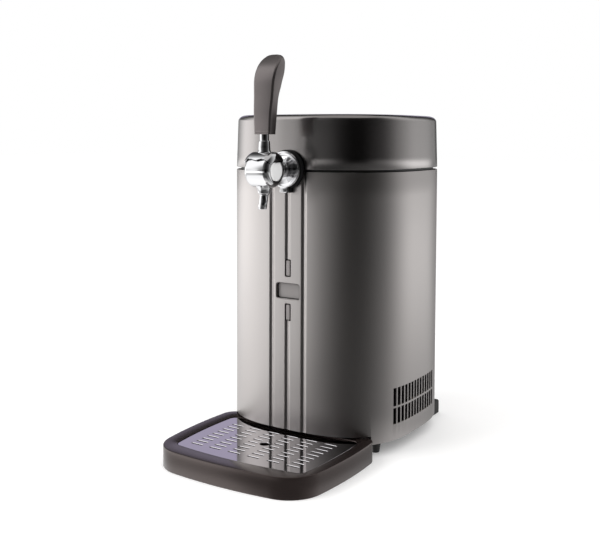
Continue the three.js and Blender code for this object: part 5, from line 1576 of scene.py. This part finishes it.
@dataclass
class DripTray:
    """The moulded tray with its sloping rim, and the polished slotted plate that lies in it."""

    palette: Palette
    slots: SlotTree
    body: Squircle = field(default_factory=Squircle)
    plan: TrayPlan = field(default_factory=TrayPlan)
    height: float = 27.1
    edge: float = 1.3
    foot: Pair = (0.3, 0.4)
    edge_turns: tuple[float, ...] = (0, 22.5, 45, 67.5, 90)
    rim_front: float = 27.5
    rim_side: float = 17.5
    slope: float = 2.1
    lip: tuple[tuple[float, float, float], ...] = ((-1.0, 0.1, 11.0), (-0.3, -0.1, 10.3), (0.0, -0.8, 10.0))
    ledge_gap: float = 0.3
    basin_inset: float = 5.0
    basin_back: float = 30.0
    basin_round: float = 1.5
    basin_corners: Pair = (10.0, 9.0)
    floor: float = 2.5
    plate_low: float = 22.7
    plate_high: float = 24.2
    plate_edge: float = 0.5
    plate_gap: float = 0.4
    plate_corner: float = 9.6
    body_gap: float = 0.7
    body_steps: int = 240
    slot_start: float = 20.0
    slot_flare: float = 0.5
    slot_pitch: Pair = (29.2, 11.05)
    slot_size: Pair = (18.0, 3.0)
    first_slot: float = 143.3
    drain: Pair = (185.0, 6.25)
    drain_cut: Pair = (19.0, 29.0)
    beyond: float = 2.0
    clearance: float = 0.02

    def ring(self, front: float, side: float, back: float, level: float, corner: float) -> Ring:
        """Give one ring with four like corners, drawn in from each side of the tray's outline."""
        return [(x, y, level) for x, y in self.plan.outline(front, side, back, corner, corner)]

    def drawn_in(self, inset: float, level: float) -> Ring:
        """Give one ring at an even distance inside the tray's outline."""
        corners = self.plan.front_corner - inset, self.plan.rear_corner - inset
        return [(x, y, level) for x, y in self.plan.outline(inset, inset, inset, *corners)]

    def tray(self) -> None:
        """Make the tray with its rounded outer edge, sloping rim, ledge and basin."""
        edge, top = self.edge, self.height
        rings = [self.drawn_in(edge, 0.0), self.drawn_in(*self.foot), self.drawn_in(0.0, edge)]
        for turn in self.edge_turns:
            inset = edge * (1 - math.cos(math.radians(turn)))
            rings.append(self.drawn_in(inset, top - edge + edge * math.sin(math.radians(turn))))
        front, side, low = self.rim_front, self.rim_side, top - self.slope
        for grow, rise, corner in self.lip:
            rings.append(self.ring(front + grow, side + grow, side + grow, low + rise, corner))
        ledge, back, bend = self.plate_low - self.ledge_gap, self.basin_back, self.basin_round
        wall, bottom = self.basin_corners
        rings.append(self.ring(front, side, side, ledge, wall))
        front, side = front + self.basin_inset, side + self.basin_inset
        rings.append(self.ring(front, side, back, ledge, wall))
        rings.append(self.ring(front, side, back, self.floor + bend, wall))
        rings.append(self.ring(front + bend, side + bend, back + bend, self.floor, bottom))
        tray = solid("drip_tray_finished", rings, sharp=30.0)
        self.palette.place(tray, Finishes.TRAY_PLASTIC, "tray", "black_plastic", "drip_tray")

    def slot_cutters(self) -> list[Piece]:
        """Make the cutters of the plate's slots, in blocks, shorter beside the drain, and of the drain.

        Returns:
            The cutters.
        """
        steel = self.palette.materials[Finishes.PLATE_STEEL]
        (across, along), (length, width) = self.slot_pitch, self.slot_size
        drain_y, drain_radius = self.drain
        clear = drain_radius + width
        trim = clear - (across / 2 - length / 2)
        # Each block: columns, rows, pitch across, middle, first row, slot length.
        blocks = [(2, 9, across, 2 * across, 0, length), (2, 9, across, -2 * across, 0, length),
                  (2, 3, across, 0.0, 0, length), (2, 4, across, 0.0, 5, length),
                  (2, 2, across + trim, 0.0, 3, length - trim)]
        cutters = []
        for columns, rows, pitch, centre, first, size in blocks:
            y = -(self.first_slot + along * (first + (rows - 1) / 2))
            cutters.append(self.slots.make(
                "cutter", steel, columns=columns, rows=rows, pitch_across=pitch, pitch_along=along,
                width=size, height=width, corner=width / 2 - self.clearance, flare=self.slot_flare,
                depth=self.plate_high + self.clearance - self.slot_start,
                place=(centre, y, self.slot_start), turn=(0, 0, 0)))
        high, mouth = self.plate_high, drain_radius + self.slot_flare
        start, end = self.drain_cut
        profile = [(start, 0), (start, drain_radius), (high - self.slot_flare, drain_radius), (high, mouth),
                   (end, mouth), (end, 0)]
        return cutters + [turned("cutter", profile, "Z", (0, -drain_y, 0), steps=48)]

    def plate(self) -> None:
        """Make the mirror-bright plate, cut along the body's front and slotted."""
        low, high = self.plate_low, self.plate_high
        front, side = self.rim_front + self.plate_gap, self.rim_side + self.plate_gap
        rings = [self.ring(front + grow, side + grow, side + grow, level, self.plate_corner - grow)
                 for level, grow in ((low, 0.0), (high - self.plate_edge, 0.0), (high, self.plate_edge))]
        plate = solid("drip_plate_finished", rings, sharp=30.0)
        turns = [math.tau * i / self.body_steps for i in range(self.body_steps)]
        shadow = [[self.body.point(turn, level, -self.body_gap) for turn in turns]
                  for level in (low - self.beyond, high + self.beyond)]
        cutters = [solid("cutter", shadow)]
        combine(plate, cutters + self.slot_cutters(), sharp=30.0)
        self.palette.place(plate, Finishes.PLATE_STEEL, "plate", "polished_steel", "drip_plate")

    def build(self) -> None:
        """Make the tray and its plate."""
        self.tray()
        self.plate()


@dataclass
class Display:
    """The two lenses in their slots, set a little back from the steel."""

    palette: Palette
    width: float = 5.6
    height: float = 20.2
    levels: tuple[tuple[str, float], ...] = (("upper_lens", 244.6), ("lower_lens", 185.8))
    face: float = 130.9
    depth: float = 3.0
    aside: float = 0.5
    corner: float = 1.0
    crown: Pairs = ((0.5, 0.0), (0.2, -0.12), (0.05, -0.4), (0.0, -0.9))

    def build(self) -> None:
        """Make each lens as a round-cornered bar with a softly crowned face."""
        for node, level in self.levels:
            rings = []
            for back, grow in ((self.depth, 0.0), *self.crown):
                outline = rounded_rectangle(self.width + 2 * grow, self.height + 2 * grow,
                                            self.corner + grow / 2)
                rings.append([(x - self.aside, -(self.face - back), level + z) for x, z in outline])
            lens = solid(f"{node}_finished", rings, sharp=50.0)
            self.palette.place(lens, Finishes.LENS, "cabinet", "lens_plastic", node)


@dataclass
class Hose:
    """The clear beer line, swept along its route from the shank's barb to the coupler."""

    palette: Palette
    axis: TapLine = field(default_factory=TapLine)
    radius: float = 3.5
    bore: float = 2.0
    coupler_radius: float = 12.0
    route_shares: Pairs = ((0.16, 0.8), (0.36, 0.86))
    steps: int = 24
    sides: int = 20

    def route(self) -> list[Vector]:
        """Give the route's points, from the frame's own pieces.

        Returns:
            The points, from the barb to the coupler.
        """
        line_low = Vector(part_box("beer_line")[0]) / MM
        port_low, port_high = (Vector(corner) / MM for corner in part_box("keg_coupler"))
        axis = AXIS_Y / MM
        across, ahead = port_low.x + self.coupler_radius, port_low.y + self.coupler_radius - axis
        port = (port_low.z + port_high.z) / 2
        start, end, run = line_low.y - axis, line_low.x, 2 * self.radius
        points = [Vector((0, start, self.axis.level)), Vector((0, start + run, self.axis.level))]
        points += [Vector((across * x, ahead * y, port)) for x, y in self.route_shares]
        return points + [Vector((end + run, ahead, port)), Vector((end, ahead, port))]

    def path(self) -> list[Vector]:
        """Give the points of a smooth curve through the route.

        Returns:
            The curve's points.
        """
        route = self.route()
        padded = [2 * route[0] - route[1]] + route + [2 * route[-1] - route[-2]]
        path = []
        for a, b, c, d in zip(padded, padded[1:], padded[2:], padded[3:]):
            for i in range(self.steps):
                t = i / self.steps
                path.append(0.5 * (2 * b + (c - a) * t + (2 * a - 5 * b + 4 * c - d) * t * t
                                   + (3 * b - a - 3 * c + d) * t ** 3))
        return path + [route[-1]]

    def rings(self, radius: float) -> list[Ring]:
        """Give the rings of one radius along the curve.

        Args:
            radius: the radius.

        Returns:
            The rings.
        """
        path = self.path()
        turns = [math.tau * k / self.sides for k in range(self.sides)]
        rings = []
        for i, point in enumerate(path):
            along = (path[min(i + 1, len(path) - 1)] - path[max(i - 1, 0)]).normalized()
            side = along.cross(Vector((0, 0, 1))).normalized()
            rise = side.cross(along)
            rings.append([tuple(point + radius * (math.cos(turn) * side + math.sin(turn) * rise))
                          for turn in turns])
        return rings

    def build(self) -> None:
        """Sweep the tube, with its bore."""
        skins = self.rings(self.radius) + self.rings(self.bore)[::-1]
        hose = make_object("beer_line_finished", *loft(skins, loop=True), sharp=50.0)
        self.palette.place(hose, Finishes.TUBE, "cabinet", "clear_tube", "beer_line")


@dataclass
class SmallPieces:
    """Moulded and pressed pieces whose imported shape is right, finished with rounded edges.

    The slot of each is the one that its finish is named after.
    """

    palette: Palette
    pieces: tuple[tuple[str, str, Finishes, float], ...] = (
        ("front_foot_left", "cabinet", Finishes.RUBBER, 0.8),
        ("front_foot_right", "cabinet", Finishes.RUBBER, 0.8),
        ("rear_foot_left", "cabinet", Finishes.RUBBER, 1.4),
        ("rear_foot_right", "cabinet", Finishes.RUBBER, 1.4),
        ("rear_panel", "cabinet", Finishes.DARK_PLASTIC, 0.5),
        ("power_inlet", "cabinet", Finishes.DARK_PLASTIC, 0.5),
        ("switch_housing", "cabinet", Finishes.DARK_PLASTIC, 0.5),
        ("rocker_switch", "rocker", Finishes.DARK_PLASTIC, 0.6),
        ("hinge_base", "cabinet", Finishes.CHROME, 0.3),
        ("hinge_leaf", "lid", Finishes.CHROME, 0.3),
        ("hinge_pin", "cabinet", Finishes.CHROME, 0.3),
        ("tap_nut", "cabinet", Finishes.CHROME, 0.4),
        ("tap_bracket", "cabinet", Finishes.ALUMINIUM, 0.4),
        ("keg_coupler", "cabinet", Finishes.CHROME, 0.4),
        ("power_supply", "cabinet", Finishes.ALUMINIUM, 0.8),
        ("keg_tub", "cabinet", Finishes.ALUMINIUM, 0.4),
        ("top_deck", "cabinet", Finishes.DARK_PLASTIC, 0.5),
        ("lid_liner", "lid", Finishes.WHITE_PLASTIC, 0.5),
        ("lid_gasket", "lid", Finishes.RUBBER, 0.4),
        ("base_pan", "cabinet", Finishes.DARK_PLASTIC, 0.4),
        ("fan_frame", "cabinet", Finishes.DARK_PLASTIC, 0.4),
        ("fan_rotor", "fan", Finishes.GREY_PLASTIC, 0.3),
        ("cold_block", "cabinet", Finishes.ALUMINIUM, 0.6))

    def build(self) -> None:
        """Finish each piece."""
        for node, body, finish, width in self.pieces:
            self.palette.place(refined(node, width), finish, body, finish.value.name, node)


@dataclass
class CarriedNodes:
    """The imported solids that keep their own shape: each gets its finish."""

    palette: Palette
    # The display frame behind the window is dressed black rather than by its slot: painted shade on the
    # recess walls.
    painted_shade_finishes: dict[str, Finishes] = field(default_factory=lambda: {"display_frame": Finishes.DARK_PLASTIC})

    def build(self) -> None:
        """Dress every carried node by its slot, through the finish that is named after it; the display
        frame instead takes black plastic, as painted shade on the walls of the window's recess.
        """
        finishes = {finish.value.name: finish for finish in Finishes}
        for part in frame["record"]["subparts"]:
            node = frame["nodes"][part["node"]]
            finish = self.painted_shade_finishes.get(part["node"], finishes[part["material_slot"]])
            material = self.palette.materials[finish]
            if not node.material_slots:
                node.data.materials.append(material)
            for slot in node.material_slots:
                slot.material = material


@dataclass
class Studio:
    """The pale floor, the soft lights, the surroundings that the metal mirrors, and the camera.

    Each band of the surroundings is a row of pairs, a bearing in degrees from the front towards the right
    and a brightness; the edges are the shares of the height where one band passes into the next.
    """

    camera_place: Point = (648.62, -1131.96, 420.14)
    yaw: float = 32.211
    tilt: float = 2.965
    roll: float = 0.218
    lens: float = 54.505
    shift: float = -0.1629
    sensor: float = 36.0
    clip: Pair = (0.05, 60.0)
    gain: float = 2.8
    plain: float = 0.95
    ground: Pairs = (
        (-180, 0.5), (-130, 0.9), (-110, 1.4), (-60, 1.5), (-36, 1.4), (-30, 0.5), (-20, 0.15),
        (10, 0.08), (60, 0.08), (90, 0.3), (130, 0.8), (156, 0.9), (180, 0.5))
    foot: Pairs = (
        (-180, 0.30), (-135, 0.9), (-117, 0.95), (-95, 0.95), (-60, 0.92), (-45, 0.85), (-36, 0.75),
        (-33, 0.40), (-30, 0.18), (-22, 0.09), (-14, 0.06), (4, 0.06), (25, 0.09), (48, 0.11),
        (78, 0.14), (104, 0.2), (130, 0.38), (156, 0.42), (180, 0.30))
    low: Pairs = (
        (-180, 0.40), (-150, 0.42), (-135, 0.6), (-122, 1.15), (-110, 1.65), (-95, 2.2), (-85, 2.55),
        (-45, 2.75), (-34, 2.75), (-31, 2.1), (-28, 1.55), (-25, 1.25), (-17, 0.85), (-5, 0.52),
        (2, 0.34), (10, 0.16), (20, 0.04), (30, 0.003), (52, 0.001), (64, 0.045), (76, 0.15), (87, 0.24),
        (98, 0.33), (107, 0.47), (116, 0.68), (131, 1.25), (142, 1.85), (154, 2.2), (160, 1.8),
        (166, 0.6), (172, 0.3), (180, 0.40))
    high: Pairs = (
        (-180, 0.10), (-150, 0.10), (-132, 0.25), (-117, 0.6), (-106, 1.0), (-95, 1.6), (-85, 2.1),
        (-66, 1.95), (-61, 1.6), (-56, 1.1), (-45, 1.0), (-36, 1.3), (-33.5, 1.05), (-32, 0.42),
        (-29, 0.16), (-25, 0.10), (-17, 0.09), (-5, 0.07), (4, 0.045), (13, 0.018), (30, 0.004),
        (52, 0.004), (64, 0.015), (76, 0.028), (87, 0.048), (98, 0.075), (107, 0.13), (116, 0.22),
        (131, 0.44), (142, 0.60), (154, 0.85), (168, 0.45))
    upper: Pairs = (
        (-180, 0.04), (-125, 0.06), (-112, 0.20), (-100, 0.35), (-84, 1.0), (-72, 1.5), (-40, 1.5),
        (-36, 1.2), (-32, 0.50), (-28, 0.26), (-20, 0.20), (-10, 0.14), (6, 0.06), (30, 0.02), (60, 0.02),
        (95, 0.06), (116, 0.25), (140, 0.8), (158, 1.0), (170, 0.3), (180, 0.04))
    edges: Pairs = ((0.26, 0.31), (0.375, 0.43), (0.453, 0.478), (0.56, 0.60))
    underfoot: Colour = (0.60, 0.59, 0.585)
    underfoot_fade: Pairs = ((0.0, 0.60), (0.05, 0.40), (0.18, 0.0))
    overhead: Colour = (0.24, 0.235, 0.233)
    overhead_fade: Pairs = ((0.90, 0.0), (0.95, 1.0))
    tint: Colour = (0.168, 0.155, 0.203)
    tint_bearing: Pairs = ((0.03, 0.0), (0.05, 1.0), (0.13, 1.0), (0.15, 0.0))
    tint_height: Pairs = ((0.53, 0.0), (0.56, 1.0), (0.69, 1.0), (0.70, 0.0))
    lamps: tuple[tuple[str, Point, float, float], ...] = (
        ("key", (-900, -1100, 1500), 1.2, 14.0), ("fill", (1200, -500, 1100), 1.4, 6.0))
    lamp_aim: Point = (0, 0, 200)
    floor_half: float = 14.0
    floor_colour: Colour = (0.94, 0.935, 0.93)
    floor_lift: float = 0.12
    white: Colour = (1.0, 1.0, 1.0)

    def camera(self) -> None:
        """Set the camera where the photograph was taken from."""
        yaw, tilt, roll = (math.radians(angle) for angle in (self.yaw, self.tilt, self.roll))
        ahead = Vector((-math.sin(yaw) * math.cos(tilt), math.cos(yaw) * math.cos(tilt), -math.sin(tilt)))
        level = Vector((math.cos(yaw), math.sin(yaw), 0.0))
        up = level.cross(ahead)
        right = level * math.cos(roll) + up * math.sin(roll)
        above = up * math.cos(roll) - level * math.sin(roll)
        data = bpy.data.cameras.new("camera")
        data.lens, data.sensor_width, data.shift_y = self.lens, self.sensor, self.shift
        data.clip_start, data.clip_end = self.clip
        made = bpy.data.objects.new("camera", data)
        turn = Matrix((right, above, -ahead)).transposed().to_4x4()
        made.matrix_world = Matrix.Translation(in_frame(self.camera_place)) @ turn
        bpy.context.scene.collection.objects.link(made)
        bpy.context.scene.camera = made

    def surroundings(self) -> None:
        """Build the world: white behind, a plain light on matt surfaces, soft boxes in the metal."""
        world = bpy.data.worlds.new("studio")
        world.use_nodes = True
        bpy.context.scene.world = world
        world.cycles.sampling_method = "NONE"
        graph = Graph(world.node_tree)
        direction = graph.node("ShaderNodeTexCoord").outputs["Generated"]
        x, y, z = graph.node("ShaderNodeSeparateXYZ", {0: direction}).outputs
        bearing = graph.math("ARCTAN2", x, graph.math("MULTIPLY", y, -1.0))
        share = graph.math("MULTIPLY_ADD", bearing, 0.5 / math.pi, 0.5)
        height = graph.math("MULTIPLY_ADD", z, 0.5, 0.5)
        bands = []
        for stops in (self.ground, self.foot, self.low, self.high, self.upper):
            scaled = [((angle + 180) / 360, value / self.gain) for angle, value in stops]
            bands.append(graph.ramp(share, scaled).outputs[0])
        round_about = bands[0]
        for band, (start, end) in zip(bands[1:], self.edges):
            above = graph.ramp(height, [(start, 0.0), (end, 1.0)]).outputs[0]
            round_about = graph.blend(above, round_about, band)
        underfoot = graph.ramp(height, self.underfoot_fade).outputs[0]
        overhead = graph.ramp(height, self.overhead_fade).outputs[0]
        grounded = graph.blend(underfoot, round_about, rgba(self.underfoot))
        lit = graph.blend(overhead, grounded, rgba(self.overhead))
        veil = graph.math("MULTIPLY", graph.ramp(share, self.tint_bearing).outputs[0],
                          graph.ramp(height, self.tint_height).outputs[0])
        tinted = graph.blend(veil, lit, rgba(self.tint))
        warm = graph.node("ShaderNodeVectorMath", {0: tinted, "Scale": self.gain}, operation="SCALE")
        rays = graph.node("ShaderNodeLightPath")
        seen = graph.math("MAXIMUM", rays.outputs["Is Camera Ray"], rays.outputs["Is Transmission Ray"])
        glossy = graph.node("ShaderNodeBackground", {0: warm.outputs[0], 1: 1.0})
        matt = graph.node("ShaderNodeBackground", {0: rgba(self.white), 1: self.plain})
        white = graph.node("ShaderNodeBackground", {0: rgba(self.white), 1: 1.0})
        first = graph.node("ShaderNodeMixShader", {0: rays.outputs["Is Glossy Ray"], 1: matt.outputs[0],
                                                   2: glossy.outputs[0]})
        last = graph.node("ShaderNodeMixShader", {0: seen, 1: first.outputs[0], 2: white.outputs[0]})
        graph.node("ShaderNodeOutputWorld", {0: last.outputs[0]})

    def lamp(self, name: str, place: Point, size: float, power: float) -> None:
        """Hang a soft square lamp that the metal doesn't mirror.

        Args:
            name: its name.
            place: where it hangs, in millimetres.
            size: its side in metres.
            power: its power in watts.
        """
        data = bpy.data.lights.new(name, "AREA")
        data.size, data.energy = size, power
        made = bpy.data.objects.new(name, data)
        made.location = in_frame(place)
        made.rotation_euler = (in_frame(self.lamp_aim) - made.location).to_track_quat("-Z", "Y").to_euler()
        made.visible_glossy = False
        made.visible_camera = False
        bpy.context.scene.collection.objects.link(made)

    def floor(self) -> None:
        """Lay a pale floor that keeps the object's soft shadow."""
        size = self.floor_half
        mesh = bpy.data.meshes.new("floor")
        mesh.from_pydata([(-size, -size, 0), (size, -size, 0), (size, size, 0), (-size, size, 0)], [],
                         [(0, 1, 2, 3)])
        made = bpy.data.objects.new("floor", mesh)
        bpy.context.scene.collection.objects.link(made)
        material = bpy.data.materials.new("pale_floor")
        material.use_nodes = True
        graph = Graph(material.node_tree)
        shader = graph.node("ShaderNodeBsdfDiffuse", {0: rgba(self.floor_colour)})
        rays = graph.node("ShaderNodeLightPath")
        seen = graph.math("MULTIPLY", rays.outputs["Is Camera Ray"], self.floor_lift)
        lift = graph.node("ShaderNodeEmission", {0: rgba(self.white), 1: seen})
        both = graph.node("ShaderNodeAddShader", {0: shader.outputs[0], 1: lift.outputs[0]})
        graph.node("ShaderNodeOutputMaterial", {0: both.outputs[0]})
        mesh.materials.append(material)
        made.visible_glossy = False

    def build(self) -> None:
        """Set up everything around the object."""
        bpy.context.scene.view_settings.view_transform = "Standard"
        self.surroundings()
        self.floor()
        for lamp in self.lamps:
            self.lamp(*lamp)
        self.camera()


def main() -> None:
    """Build the studio and every piece in order."""
    palette = Palette()
    slots = SlotTree()
    for part in (Studio(), BodyShell(palette, slots), Lid(palette), Tap(palette), Lever(palette),
                 DripTray(palette, slots), Display(palette), Hose(palette), SmallPieces(palette),
                 CarriedNodes(palette)):
        part.build()


if __name__ == "__main__":
    main()
